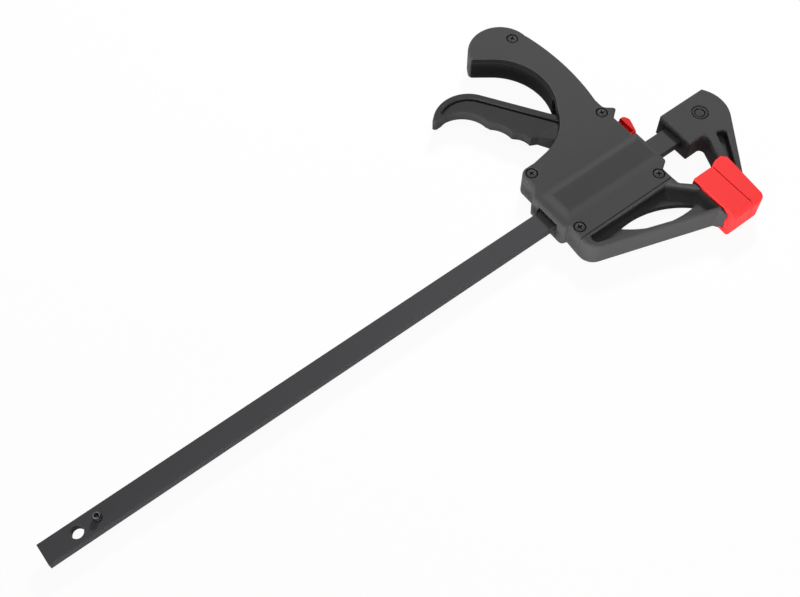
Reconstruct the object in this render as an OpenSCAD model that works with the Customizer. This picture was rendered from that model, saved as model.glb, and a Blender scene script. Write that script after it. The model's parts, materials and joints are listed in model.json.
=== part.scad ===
// One-handed quick-release bar clamp, closed, lying flat.
// Millimetres. +X runs along the bar from its free end to the fixed jaw, +Y points to the grip,
// +Z up, out of the front cover. The origin is the centre of the bar's hanging hole.

/* [Bar] */
// Width of the flat steel bar
bar_w = 13.5; // [12:0.5:15]
// Thickness of the flat steel bar
bar_t = 5.6; // [4.6:0.2:6.4]
// Bar that stands out past the hanging hole
bar_tail = 19.8; // [12:0.2:40]
// Diameter of the hanging hole
hole_d = 7.1; // [5:0.1:9]
// Distance from the hanging hole to the stop pin
stop_x = 12.4; // [9:0.2:40]
// Diameter of the rolled stop pin
stop_d = 4; // [3:0.1:5]
// Wall of the rolled stop pin
stop_wall = 0.8; // [0.5:0.1:1.2]
// Height of the stop pin above each face of the bar
stop_proud = 4.4; // [3:0.1:6]

/* [Travel] */
// How far the sliding jaw opens
travel = 300; // [100:5:600]
// Room left between the open jaw and the stop pin
stop_margin = 1.1; // [0.5:0.1:5]
// How far the trigger swings
trigger_swing = 20; // [10:1:21]
// Lean of the brake plate while it holds
brake_lean = 6.5; // [5:0.5:6.5]

/* [Housing] */
// Length of the body between its two noses
body_l = 81.7; // [80:0.1:84]
// Height of the body's top edge above the bar's axis
body_top = 32.9; // [31:0.1:34]
// Depth of the body's lower edge under the bar's axis
body_low = 25.3; // [24:0.1:28]
// Half thickness of the closed housing
half_t = 9.1; // [8.6:0.1:10]
// Thickness of the front cover
cover_t = 3.4; // [3:0.1:3.8]
// Side walls and ribs of the housing
wall = 2.6; // [1.8:0.1:3]
// Floor of the rear shell
floor_t = 2.7; // [2.2:0.1:3]
// Gap of the parting line beside the cover
seam = 0.25; // [0.1:0.05:0.5]
// Half width of the raised back over the bar
ridge_w = 11.2; // [10.5:0.1:12]
// Height of the raised back
ridge_h = 1.8; // [1.6:0.1:3]
// Half width of the mouth round the bar
mouth_w = 8.5; // [8:0.1:10]
// Depth of the mouth round the bar
mouth_deep = 3.6; // [2:0.1:5]

/* [Grip] */
// Radius of the hand opening beside the body
palm_low_r = 37.5; // [37:0.1:38]
// Radius of the hand opening under the grip
palm_high_r = 38; // [37.5:0.1:38.5]
// Radius of the grip's outer back
grip_back_r = 156; // [120:1:220]
// Radius of the grip's round end
grip_end_r = 21.2; // [20:0.1:22.5]

/* [Sliding jaw] */
// Reach from the body's nose to the clamping face
jaw_reach = 99.3; // [98.5:0.1:102]
// Depth of both jaws under the bar's axis
jaw_deep = 66; // [64:0.5:72]
// Slope of the jaw's lower edge
jaw_slope = 0.32; // [0.28:0.01:0.34]
// Half thickness of both jaw heads inside their pads
head_t = 6.7; // [5.5:0.1:7.2]
// Web in the middle of the jaw
jaw_web = 3.5; // [2:0.1:6]
// Length of the lens window
lens_l = 50; // [30:0.5:50]
// Rise of the lens window's upper arc
lens_up = 6; // [4:0.1:8]
// Drop of the lens window's lower arc
lens_down = 5.7; // [3:0.1:6]

/* [Fixed jaw] */
// Half thickness of the fixed jaw
fixed_t = 8.46; // [8:0.02:9.5]
// Depth of the socket that holds the bar
socket_deep = 30; // [26:0.5:32]
// Distance from the fixed jaw's face to its bolt
bolt_x = 21.6; // [18:0.2:24]
// Diameter of the bolt through the fixed jaw
bolt_d = 6; // [5:0.5:6.5]
// Width across the flats of the nut
nut_flats = 10; // [9:0.1:11]
// Thickness of the nut
nut_t = 3.6; // [3:0.1:5]

/* [Pads] */
// Half thickness of the pads
pad_t = 10.2; // [9.6:0.1:12]
// Wall of the pad on the clamping face
pad_wall = 3; // [2:0.1:4]
// Wall under the jaw heads
pad_sole = 3.3; // [2:0.1:5]
// Gap between the closed pads
pad_gap = 0.3; // [0.3:0.1:1]
// Depth of the pads' upper edge under the bar's axis
pad_top = 34.4; // [33:0.1:38]
// Step between the jaw's neck and the sliding pad
pad_step = 1.4; // [1:0.1:3]
// Rounding of the pads under their soles
pad_round = 3.5; // [1:0.1:4]

/* [Mechanism] */
// Thickness of the drive and brake plates
plate_t = 3; // [2:0.1:3.2]
// Half thickness of trigger, plates and button
inner_t = 5.3; // [4.5:0.1:5.4]
// Diameter of the trigger's pivot pin
pivot_d = 5; // [4:0.1:6]
// Diameter of the spring wire
wire_d = 1.35; // [1:0.05:1.4]
// Turns of the drive spring
drive_turns = 7; // [5:1:9]
// Turns of the brake spring
brake_turns = 4; // [3:1:6]
// Width of the flange round the trigger's sides
flange_w = 3.8; // [3:0.1:4.5]
// Depth of the pockets in the trigger's sides
pocket_deep = 1.2; // [0.5:0.1:2.5]

/* [Screws] */
// Diameter of the cover screws' heads
screw_head_d = 6.2; // [5:0.1:6.8]
// Diameter of the recesses for the cover screws' heads
recess_d = 7.3; // [7:0.1:7.6]
// Height of the cover screws' heads
screw_head_h = 2; // [1.6:0.1:2.2]
// Diameter of the cover screws' threads
screw_d = 2.9; // [2.5:0.1:3.5]
// Length of the cover screws under the head
screw_l = 11; // [8:0.5:12]

/* [Clearances] */
// Running clearance round the bar
slide_fit = 0.25; // [0.1:0.05:0.4]
// Radial clearance of pivots and pins
pin_fit = 0.05; // [0.02:0.01:0.1]
// Clearance between pads and jaw heads
pad_fit = 0.1; // [0.05:0.05:0.2]
// Clearance round the screws' shanks in the cover
screw_fit = 0.25; // [0.1:0.05:0.5]

/* [Hidden] */
$fn = 96;
eps = 0.01;
arc_step = 7.5;          // degrees between the points of an arc in an outline
arc_chord = 4;           // and the longest straight piece in it

// places along the bar
nose_x = stop_x + stop_d / 2 + travel + stop_margin;   // the body's left nose face
clamp_x = jaw_reach;                                   // clamping plane, from the nose face
fixed_x = clamp_x + 2.8;                               // fixed jaw's left face, from the nose face
split_z = half_t - cover_t;                            // parting plane of the two shells
cavity_z = floor_t - half_t;                           // floor of the room inside
ridge_top = half_t + ridge_h;

// body outline, measured from the nose face and the bar's axis
step_x = 5.3;            // left side of the body behind its nose
foot_x = 3;              // left end of the lower edge
heel_x = body_l - 5.7;   // right end of the lower edge
back_x = body_l - 2.8;   // right side of the body above its nose
ear_x = body_l + 2.7;    // ear over the release button
nose_up = 12.9;          // half height of the noses
palm_low = [21.2, 71.5];
palm_high = [25.7, 80];
grip_back = [-73.3, 80];
grip_end = [57.7, 113];
grip_corner = [36.8, 119.2, 3];

// pivots and screws, measured as the outline
pivot = [52.7, 30];
brake_hinge = [body_l - 8.3, -13];
knuckle_r = 2.2;
screw_spots = [grip_end + [12.4, 3.6], [ear_x - 9.2, 36.5], [step_x + 5.6, 27.6],
    [heel_x - 4.8, -18.7], [foot_x + 5.3, -18.6]];
boss_r = screw_d / 2 + 2.1;

// room inside the body
bed_x = 10.7;            // inner face of the left nose block
rib_x = 51.7;            // left face of the middle rib
rib_up = 11;             // top of the middle rib
play = 0.3;              // free room beside plates and toe at rest
coil_r = norm([bar_w, bar_t]) / 2 + slide_fit + wire_d / 2;   // coil radius at the wire's centre
tunnel_r = coil_r + wire_d / 2 + 2 * play;
channel = [bar_w + 2 * slide_fit, bar_t + 2 * slide_fit];
drive_x = 41.7;          // drive plate's left face at rest
drive_top = 19;
drive_low = -11;
toe_r = 2.5;
toe = [drive_x + plate_t + toe_r + play, 15.5];
hub_r = 6.5;
button_low = 14.4;
button_up = 28.5;

// ---- outlines: [x, y, radius of the corner] ----

function unit(v) = v / norm(v);

function arc(c, r, from, to) =
    let (turn = abs(to - from), n = max(2, ceil(turn / arc_step), ceil(turn * PI / 180 * r / arc_chord)))
    [for (i = [0:n]) let (a = from + (to - from) * i / n) [c.x + r * cos(a), c.y + r * sin(a), 0]];

// the arc from p to q that stands `rise` to the left of the straight line
function bow(p, q, rise) =
    let (half = norm(q - p) / 2,
        r = (half * half + rise * rise) / (2 * rise),
        along = unit(q - p),
        left = [-along.y, along.x],
        c = (p + q) / 2 + left * (rise - r),
        a = atan2(p.y - c.y, p.x - c.x),
        turn = 2 * asin(min(1, half / r)) * (rise > r ? -1 : 1))
    arc(c, r, a, a - turn);

function corner(a, b, c) =
    b[2] == 0 ? [[b.x, b.y]] :
    let (p = [b.x, b.y],
        u = unit([a.x, a.y] - p),
        v = unit([c.x, c.y] - p),
        half = acos(u * v) / 2,
        m = p + unit(u + v) * b[2] / sin(half),
        s = p + u * b[2] / tan(half) - m,
        e = p + v * b[2] / tan(half) - m,
        turn = atan2(s.x * e.y - s.y * e.x, s * e),
        from = atan2(s.y, s.x),
        n = max(2, ceil(abs(turn) / arc_step)))
    [for (i = [0:n]) m + b[2] * [cos(from + turn * i / n), sin(from + turn * i / n)]];

function rounded(path) =
    let (n = len(path))
    [for (i = [0:n - 1]) each corner(path[(i + n - 1) % n], path[i], path[(i + 1) % n])];

// the right-hand crossing of two circles
function crossing(c1, r1, c2, r2) =
    let (d = norm(c2 - c1), along = unit(c2 - c1), side = [along.y, -along.x],
        t = (r1 * r1 - r2 * r2 + d * d) / (2 * d))
    c1 + along * t + side * sqrt(r1 * r1 - t * t);

function angle_at(c, p) = atan2(p.y - c.y, p.x - c.x);

palm_meet = crossing(palm_low, palm_low_r, palm_high, palm_high_r);
grip_back_low = [grip_back.x + sqrt(pow(grip_back_r, 2) - pow(33.4, 2)), 46.6];

// body and grip, without the jaw
module body_shape() {
    polygon(rounded(concat(
        [[foot_x, -body_low, 0.8], [heel_x, -body_low, 0], [heel_x, -17, 1.5],
            [body_l, 1.3 - nose_up - 2.2, 2], [body_l, nose_up, 0.8], [back_x, nose_up, 0]],
        [[back_x, 29.4, 0.8], [ear_x + 0.2, 33.8, 0.9], [ear_x - 0.4, 35.5, 0.9],
            [grip_back_low.x, 39.4, 4]],
        arc(grip_back, grip_back_r, angle_at(grip_back, grip_back_low), 12.2),
        arc(grip_end, grip_end_r, 1, 150),
        [grip_corner],
        arc(palm_high, palm_high_r, 55, angle_at(palm_high, palm_meet)),
        arc(palm_low, palm_low_r, angle_at(palm_low, palm_meet) - 1, -78),
        [[17.5, body_top, 8], [step_x, body_top, 5.4], [step_x, 19.2, 1], [0, 13.6, 1.5],
            [0, -14.1, 3.2], [3.9, -15, 0.8]])));
}

// sliding jaw under the body
jaw_foot = body_low + 9.1;                             // depth of the jaw's left end
jaw_tip = [clamp_x - pad_gap / 2 - pad_wall - pad_fit, -jaw_deep];
neck_x = jaw_reach - 16.5;                             // where the jaw thins down to its head
lens_x = foot_x + 0.629 * (neck_x - foot_x);           // middle of the lens window
lens_half = min(lens_l, 0.627 * (neck_x - foot_x)) / 2;
module jaw_shape() {
    polygon(rounded([
        [foot_x, 1 - body_low, 0], [foot_x, -jaw_foot, 10],
        [neck_x - 1.9, -jaw_foot - jaw_slope * (neck_x - 1.9 - foot_x), 1],
        [neck_x + 2.7, jaw_tip.y, 0.6], [jaw_tip.x, jaw_tip.y, 3], [jaw_tip.x, -pad_top - 2.1, 1.5],
        [neck_x, -pad_top - 2.1, 1.5], [heel_x + 0.2, -30.4, 3], [heel_x, 1 - body_low, 0]]));
}

// pocket on both sides of the jaw, down to its web
module jaw_pocket_shape() {
    polygon(rounded([
        [foot_x + 5.1, -body_low - 1.7, 2.4], [heel_x - 7, -body_low - 1.7, 2],
        [neck_x - 1.4, -40.4, 1], [neck_x + eps, -41.8, 0],
        [neck_x + eps, -jaw_foot - jaw_slope * (neck_x - foot_x) + 1.9, 0.5],
        [foot_x + 5.2, -jaw_foot + 1.8, 2.8]]));
}

// lens window through the web
module lens_shape() {
    up_r = (pow(lens_half, 2) + pow(lens_up, 2)) / (2 * lens_up);
    down_r = (pow(lens_half, 2) + pow(lens_down, 2)) / (2 * lens_down);
    translate([lens_x, -body_low - 13]) rotate(-atan(jaw_slope)) intersection() {
        translate([0, lens_up - up_r]) circle(up_r);
        translate([0, down_r - lens_down]) circle(down_r);
    }
}

// fixed jaw, measured from its left face
fixed_head_x = pad_gap / 2 + pad_wall + pad_fit - 2.8;
module fixed_shape() {
    polygon(rounded(concat(
        [[0, 13, 1], [0, -13.9, 1], [14, -13.7, 3], [5.1, -pad_top - 2.1, 0.5],
            [fixed_head_x, -pad_top - 2.1, 1], [fixed_head_x, -jaw_deep, 3],
            [6.2, -jaw_deep, 1.5], [7, -52.4, 3]],
        arc([18.1, 0], 21.8, -37, 36.6))));
}

module fixed_pocket_shape() {
    polygon(rounded([[18.8, -16.7, 1.8], [25.6, -18.6, 2.6], [9.9, -42.4, 0.6], [8.6, -40, 0.6]]));
}

module fixed_pad_shape() {
    polygon(rounded([
        [pad_gap / 2 - 2.8, -pad_top, 0.8], [2, 2.1 - pad_top, 3], [6.8, 2.4 - pad_top, 1.5],
        [9.8, -pad_top - 0.7, 1], [7, -jaw_deep, 2.5], [5.2, -jaw_deep - pad_sole, 3],
        [pad_gap / 2 - 2.8, -jaw_deep - pad_sole, 1]]));
}

module sliding_pad_shape() {
    left = neck_x + pad_step;
    right = clamp_x - pad_gap / 2;
    polygon(rounded([
        [left, -pad_top, 0.6], [left - 0.4, -jaw_deep - pad_sole, 1.2],
        [right, -jaw_deep - pad_sole, 1], [right, -pad_top, 0.8]]));
}

// room for both pads, rounded under their soles
module pad_room() {
    rotate([90, 0, 90]) linear_extrude(2 * jaw_reach, center = true) polygon(rounded([
        [-jaw_deep - pad_sole, -pad_t, pad_round], [0, -pad_t, 0], [0, pad_t, 0],
        [-jaw_deep - pad_sole, pad_t, pad_round]]));
}

// trigger blade at rest
module blade_shape() {
    tip = [-6.1, 97.7];
    crest_1 = [19.2, 77.5];
    crest_2 = [26, 62];
    crest_3 = [31.5, 51];
    polygon(rounded(concat(
        [[47.95, 29, 0], [57, 29, 0], [59.3, 46, 6]],
        arc([7.7, 83], 22.5, 32.4, 133),
        [[tip.x - 2.6, tip.y - 0.6, 1.2]],
        bow(tip, crest_1, 8.7),
        bow([19.8, 75.8], crest_2, 1.6),
        bow([26.6, 61.2], crest_3, 1.3),
        [[34, 49.6, 3]])));
}

module button_shape() {
    root_x = back_x - 3.9;
    rim_x = body_l + 6.9;
    polygon(rounded([
        [root_x, button_low, 1], [rim_x - 3.6, button_low, 2.4], [rim_x, 24.6, 3.5],
        [rim_x - 2, button_up, 2.2], [root_x, button_up, 1]]));
}

// ---- shared solids ----

module slab(z0, z1) {
    translate([0, 0, z0]) linear_extrude(z1 - z0) children();
}

module in_carriage() {
    translate([nose_x, 0, 0]) children();
}

module bar_channel(x0, x1, grow_w = 0) {
    translate([x0, -channel.x / 2 - grow_w, -channel.y / 2])
        cube([x1 - x0, channel.x + 2 * grow_w, channel.y]);
}

module tunnel(x0, x1) {
    translate([x0, 0, 0]) rotate([0, 90, 0]) cylinder(r = tunnel_r, h = x1 - x0);
}

// raised back over the bar, with sloped sides and ends, on one face of the body
module ridge() {
    intersection() {
        rotate([90, 0, 90]) linear_extrude(body_l) polygon([
            [-ridge_w, half_t - 1], [ridge_w, half_t - 1], [ridge_w, half_t],
            [7.5, ridge_top], [-7.5, ridge_top], [-ridge_w, half_t]]);
        translate([0, 2 * ridge_w, 0]) rotate([90, 0, 0]) linear_extrude(4 * ridge_w) polygon([
            [4.7, half_t - 1], [body_l, half_t - 1], [body_l, half_t],
            [body_l - 5, ridge_top], [10.2, ridge_top], [4.7, half_t]]);
    }
}

// closed coil round the bar between x0 and x1
module coil(x0, x1, turns) {
    sides = 6;
    per_turn = 24;
    steps = turns * per_turn;
    pitch_x = (x1 - x0 - wire_d) / steps;
    ring = function (i) [for (s = [0:sides - 1])
        let (a = 360 * i / per_turn, w = 360 * s / sides, r = coil_r + wire_d / 2 * cos(w))
        [x0 + wire_d / 2 + pitch_x * i + wire_d / 2 * sin(w), r * cos(a), r * sin(a)]];
    points = [for (i = [0:steps]) each ring(i)];
    skin = [for (i = [0:steps - 1]) for (s = [0:sides - 1]) let (n = (s + 1) % sides)
        [i * sides + s, i * sides + n, (i + 1) * sides + n, (i + 1) * sides + s]];
    first = [for (s = [sides - 1:-1:0]) s];
    last = [for (s = [0:sides - 1]) steps * sides + s];
    polyhedron(points, concat(skin, [first], [last]), convexity = 10);
}

// ---- bar assembly ----

bar_end = fixed_x + socket_deep;
module bar() {
    color([0.2, 0.2, 0.21]) difference() {
        translate([-bar_tail, -bar_w / 2, -bar_t / 2]) cube([nose_x + bar_end + bar_tail, bar_w, bar_t]);
        cylinder(d = hole_d, h = 2 * bar_t, center = true);
        translate([stop_x, 0, 0]) cylinder(d = stop_d + 2 * pin_fit, h = 2 * bar_t, center = true);
        translate([nose_x + fixed_x + bolt_x, 0, 0])
            cylinder(d = bolt_d + 2 * pin_fit, h = 2 * bar_t, center = true);
    }
}

module stop_pin() {
    h = bar_t + 2 * stop_proud;
    color([0.15, 0.15, 0.15]) translate([stop_x, 0, 0]) difference() {
        cylinder(d = stop_d, h = h, center = true);
        cylinder(d = stop_d - 2 * stop_wall, h = h + 1, center = true);
        rotate(-60) translate([0, -0.45, -h]) cube([stop_d, 0.9, 2 * h]);
    }
}

bolt_head_h = 3.2;
module in_fixed() {
    translate([nose_x + fixed_x, 0, 0]) children();
}

module fixed_jaw() {
    color([0.3, 0.3, 0.31]) in_fixed() difference() {
        slab(-fixed_t, fixed_t) fixed_shape();
        for (side = [0, 1]) mirror([0, 0, side]) {
            slab(head_t, fixed_t + 1) offset(delta = pad_fit) fixed_pad_shape();
            slab(jaw_web / 2, fixed_t + 1) fixed_pocket_shape();
        }
        translate([-1, -bar_w / 2 - pad_fit, -bar_t / 2 - pad_fit])
            cube([socket_deep + 1 + pad_fit, bar_w + 2 * pad_fit, bar_t + 2 * pad_fit]);
        translate([bolt_x, 0, 0]) {
            cylinder(d = bolt_d + 2 * pin_fit, h = 4 * fixed_t, center = true);
            translate([0, 0, fixed_t - nut_t])
                cylinder(d = (nut_flats + 2 * pad_fit) / cos(30), h = nut_t + 1, $fn = 6);
            translate([0, 0, -fixed_t - 1]) cylinder(d = 2 * bolt_d - 1.2, h = bolt_head_h + 1);
        }
    }
}

module fixed_pad() {
    color([0.9, 0.12, 0.14]) in_fixed() difference() {
        intersection() {
            slab(-pad_t, pad_t) fixed_pad_shape();
            pad_room();
        }
        slab(-head_t - pad_fit, head_t + pad_fit) offset(delta = pad_fit) fixed_shape();
    }
}

module jaw_bolt() {
    color([0.45, 0.45, 0.47]) in_fixed() translate([bolt_x, 0, 0]) difference() {
        union() {
            translate([0, 0, -fixed_t + 0.2]) cylinder(d = bolt_d, h = 2 * fixed_t - 0.8);
            translate([0, 0, -fixed_t]) cylinder(d = 2 * bolt_d - 1.6, h = bolt_head_h);
        }
        translate([0, 0, -fixed_t - 1]) cylinder(d = 4 / cos(30), h = 3, $fn = 6);
    }
}

module jaw_nut() {
    color([0.42, 0.42, 0.44]) in_fixed() translate([bolt_x, 0, fixed_t - nut_t]) difference() {
        cylinder(d = nut_flats / cos(30), h = nut_t - 0.2, $fn = 6);
        translate([0, 0, -1]) cylinder(d = bolt_d + 2 * pin_fit, h = nut_t + 2);
    }
}

// ---- housing ----

module boss(spot) {
    translate([spot.x, spot.y, cavity_z - eps]) cylinder(r = boss_r, h = split_z - cavity_z + eps);
}

// cut for the trigger through the wall of the hand opening, as far as the trigger swings
module trigger_gate() {
    for (a = [[palm_low, palm_low_r, -59.2, -22], [palm_high, palm_high_r, -40, trigger_swing - 43]])
        slab(cavity_z, split_z + 1) polygon([for (p = concat(
            arc(a[0], a[1] - 1.5, a[2], a[3]), arc(a[0], a[1] + wall + 1, a[3], a[2])))
            [p.x, p.y]]);
}

// window for the release button in the right wall, with room for its leaning plate below
module button_gate() {
    plate_side = brake_hinge.x + (nose_up - brake_hinge.y) * tan(brake_lean) + plate_t / 2 + 2 * play;
    notch = 5;
    slab(cavity_z, split_z + 1) {
        translate([back_x - wall - 2, nose_up + 0.1])
            square([wall + 6, button_up + 1.3 - nose_up]);
        translate([plate_side - notch, nose_up + 1 - notch]) square(notch);
    }
}

module brake_cradle() {
    left = brake_hinge.x - knuckle_r - 1.4;
    slab(cavity_z - eps, inner_t) polygon([
        [left, 1 - body_low], [heel_x, 1 - body_low], [heel_x + 1, brake_hinge.y + 0.8],
        [left, brake_hinge.y + 0.8]]);
}

module rear_housing() {
    color([0.3, 0.3, 0.31]) in_carriage() difference() {
        union() {
            difference() {
                slab(-half_t, split_z) body_shape();
                slab(cavity_z, split_z + 1) offset(delta = -wall) body_shape();
            }
            mirror([0, 0, 1]) ridge();
            slab(cavity_z - eps, split_z) translate([0.5, -nose_up])
                square([bed_x - 0.5, nose_up + 16]);
            slab(cavity_z - eps, split_z) translate([rib_x, 1 - body_low])
                square([wall + 0.4, body_low - 1 + rib_up]);
            for (spot = screw_spots) boss(spot);
            brake_cradle();
            difference() {
                slab(-half_t, half_t) difference() {
                    jaw_shape();
                    translate([-1, -body_low]) square([body_l + 10, 10]);
                }
                for (side = [0, 1]) mirror([0, 0, side]) {
                    slab(jaw_web / 2, half_t + 1) jaw_pocket_shape();
                    slab(head_t, half_t + 1) translate([neck_x, -2 * jaw_deep])
                        square([jaw_deep, 2 * jaw_deep - body_low - 3]);
                }
                slab(-half_t, half_t) lens_shape();
            }
        }
        tunnel(bed_x, rib_x);
        tunnel(rib_x + wall + 0.4, brake_hinge.x);
        bar_channel(-1, body_l + 1);
        translate([-1, -mouth_w, -split_z]) cube([mouth_deep + 1, 2 * mouth_w, 2 * split_z + 1]);
        translate([brake_hinge.x, brake_hinge.y, cavity_z])
            cylinder(r = knuckle_r + pin_fit, h = 2 * half_t);
        button_gate();
        trigger_gate();
        translate([pivot.x, pivot.y, cavity_z - 1.6]) cylinder(d = pivot_d + 2 * pin_fit, h = 5);
        for (spot = screw_spots) translate([spot.x, spot.y, split_z - screw_l])
            cylinder(d = screw_d + 0.1, h = screw_l + 1);
    }
}

module front_cover() {
    seat_z = half_t - screw_head_h - 0.1;
    color([0.31, 0.31, 0.32]) in_carriage() difference() {
        union() {
            difference() {
                slab(split_z, half_t) body_shape();
                translate([-1, -body_low - 1, split_z - 1]) cube([body_l + 5, 1 + seam, half_t]);
            }
            ridge();
        }
        tunnel(bed_x, rib_x);
        tunnel(rib_x + wall + 0.4, brake_hinge.x);
        translate([pivot.x, pivot.y, split_z - 1]) cylinder(d = pivot_d + 2 * pin_fit, h = 2.9);
        for (spot = screw_spots) translate([spot.x, spot.y, 0]) {
            cylinder(d = screw_d + 2 * screw_fit, h = 2 * half_t);
            translate([0, 0, seat_z]) cylinder(d = recess_d, h = half_t);
        }
    }
}

module sliding_pad() {
    color([0.9, 0.12, 0.14]) in_carriage() difference() {
        intersection() {
            slab(-pad_t, pad_t) sliding_pad_shape();
            pad_room();
        }
        slab(-head_t - pad_fit, head_t + pad_fit) offset(delta = pad_fit) jaw_shape();
    }
}

// pan-head screw with a cross recess, its head sunk in the cover
module cover_screw(spot) {
    top = half_t - 0.1;
    color([0.25, 0.25, 0.26]) in_carriage() translate([spot.x, spot.y, 0]) difference() {
        union() {
            translate([0, 0, top - screw_head_h]) cylinder(d = screw_head_d, h = screw_head_h - 0.4);
            translate([0, 0, top - 0.4]) cylinder(d1 = screw_head_d, d2 = screw_head_d - 1.4, h = 0.4);
            translate([0, 0, top - screw_l]) cylinder(d = screw_d, h = screw_l - 1);
        }
        for (turn = [30, 120]) rotate(turn) translate([-2, -0.45, top - 1.3]) cube([4, 0.9, 2]);
    }
}

module cover_screw_grip() { cover_screw(screw_spots[0]); }
module cover_screw_ear() { cover_screw(screw_spots[1]); }
module cover_screw_corner() { cover_screw(screw_spots[2]); }
module cover_screw_front() { cover_screw(screw_spots[3]); }
module cover_screw_rear() { cover_screw(screw_spots[4]); }

// ---- mechanism ----

module trigger_pin() {
    z0 = cavity_z - 1.5;
    color([0.6, 0.6, 0.62]) in_carriage() translate([pivot.x, pivot.y, z0])
        cylinder(d = pivot_d, h = split_z + 1.8 - z0);
}

module drive_spring() {
    color([0.55, 0.55, 0.57]) in_carriage() coil(bed_x + 0.1, drive_x - 0.1, drive_turns);
}

// the brake plate's lower half leans towards the coil, so the coil ends short of it
brake_face = brake_hinge.x - plate_t / 2 + (-coil_r - wire_d - brake_hinge.y) * tan(brake_lean);
module brake_spring() {
    color([0.55, 0.55, 0.57]) in_carriage()
        coil(rib_x + wall + 0.5, brake_face - 0.2, brake_turns);
}

module trigger() {
    color([0.3, 0.3, 0.31]) in_carriage() difference() {
        slab(-inner_t, inner_t) union() {
            blade_shape();
            translate(pivot) circle(hub_r);
            hull() {
                translate(pivot) circle(hub_r - 1.5);
                translate(toe) circle(toe_r);
            }
        }
        for (side = [0, 1]) mirror([0, 0, side])
            slab(inner_t - pocket_deep, inner_t + 1) difference() {
                offset(delta = -flange_w) blade_shape();
                translate(pivot) circle(3 * hub_r);
            }
        translate([pivot.x, pivot.y, -half_t]) cylinder(d = pivot_d + 2 * pin_fit, h = 2 * half_t);
    }
}

module drive_plate() {
    color([0.5, 0.5, 0.52]) in_carriage() difference() {
        translate([drive_x, drive_low, -inner_t]) cube([plate_t, drive_top - drive_low, 2 * inner_t]);
        bar_channel(drive_x - 1, drive_x + plate_t + 1);
    }
}

// lever plate: drawn upright at its hinge, then leaned
module in_brake() {
    in_carriage() translate([brake_hinge.x, brake_hinge.y, 0]) rotate(-brake_lean) children();
}

brake_l = 36.5;          // from the hinge to the top of the plate
module brake_plate() {
    slot_y = -brake_hinge.y / cos(brake_lean);
    slot_w = channel.x + 2 * play;
    color([0.5, 0.5, 0.52]) in_brake() difference() {
        union() {
            translate([0, 0, -inner_t]) cylinder(r = knuckle_r, h = 2 * inner_t - 0.2);
            translate([-plate_t / 2, 0, -inner_t]) cube([plate_t, brake_l, 2 * inner_t - 0.2]);
        }
        translate([-plate_t, slot_y - slot_w / 2, -channel.y / 2])
            cube([2 * plate_t, slot_w, channel.y]);
    }
}

module release_button() {
    color([0.85, 0.1, 0.12]) difference() {
        in_carriage() slab(-inner_t, inner_t) button_shape();
        in_brake() translate([-plate_t / 2 - pad_fit, 0, -inner_t - 1])
            cube([plate_t + 2 * pad_fit, brake_l + pad_fit, 2 * inner_t + 2]);
    }
}

bar();
stop_pin();
fixed_jaw();
fixed_pad();
jaw_bolt();
jaw_nut();
rear_housing();
front_cover();
sliding_pad();
cover_screw_grip();
cover_screw_ear();
cover_screw_corner();
cover_screw_front();
cover_screw_rear();
trigger_pin();
drive_spring();
brake_spring();
trigger();
drive_plate();
brake_plate();
release_button();
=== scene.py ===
"""Dresses the one-handed quick-release bar clamp: shells, trigger, soft pads, bar, screws and springs."""

import json
import logging
import math
from dataclasses import dataclass
from enum import Enum
from typing import Callable, ClassVar, Iterable, Sequence

import bmesh
import bpy
import numpy as np
from mathutils import Matrix, Quaternion, Vector, geometry

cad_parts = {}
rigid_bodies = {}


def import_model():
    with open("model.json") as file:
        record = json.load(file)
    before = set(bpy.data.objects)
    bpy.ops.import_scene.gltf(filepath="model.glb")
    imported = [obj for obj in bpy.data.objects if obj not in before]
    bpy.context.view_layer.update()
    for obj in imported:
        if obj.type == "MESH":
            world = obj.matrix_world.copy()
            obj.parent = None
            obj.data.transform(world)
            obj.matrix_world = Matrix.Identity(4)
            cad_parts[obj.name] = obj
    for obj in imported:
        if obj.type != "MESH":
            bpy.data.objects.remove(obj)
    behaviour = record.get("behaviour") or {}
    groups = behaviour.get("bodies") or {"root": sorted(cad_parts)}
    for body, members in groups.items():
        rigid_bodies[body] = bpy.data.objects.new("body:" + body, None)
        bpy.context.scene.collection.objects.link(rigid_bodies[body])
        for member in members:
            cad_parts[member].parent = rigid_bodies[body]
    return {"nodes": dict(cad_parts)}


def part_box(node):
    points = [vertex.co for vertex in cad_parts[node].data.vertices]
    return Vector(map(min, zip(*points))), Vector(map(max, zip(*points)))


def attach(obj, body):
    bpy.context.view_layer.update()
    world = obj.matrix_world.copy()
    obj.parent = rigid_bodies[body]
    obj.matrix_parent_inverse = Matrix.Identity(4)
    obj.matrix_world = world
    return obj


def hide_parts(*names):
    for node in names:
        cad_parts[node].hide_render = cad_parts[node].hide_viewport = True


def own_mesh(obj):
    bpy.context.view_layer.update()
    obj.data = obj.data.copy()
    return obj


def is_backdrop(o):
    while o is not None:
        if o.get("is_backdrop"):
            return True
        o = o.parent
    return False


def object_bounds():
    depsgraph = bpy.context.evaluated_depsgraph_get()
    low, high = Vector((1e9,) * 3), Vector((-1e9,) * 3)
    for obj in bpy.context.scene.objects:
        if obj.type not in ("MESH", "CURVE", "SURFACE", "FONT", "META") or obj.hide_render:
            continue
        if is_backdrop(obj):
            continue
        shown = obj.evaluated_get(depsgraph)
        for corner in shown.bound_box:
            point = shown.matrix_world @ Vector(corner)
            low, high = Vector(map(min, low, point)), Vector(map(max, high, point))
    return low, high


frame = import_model()

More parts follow.
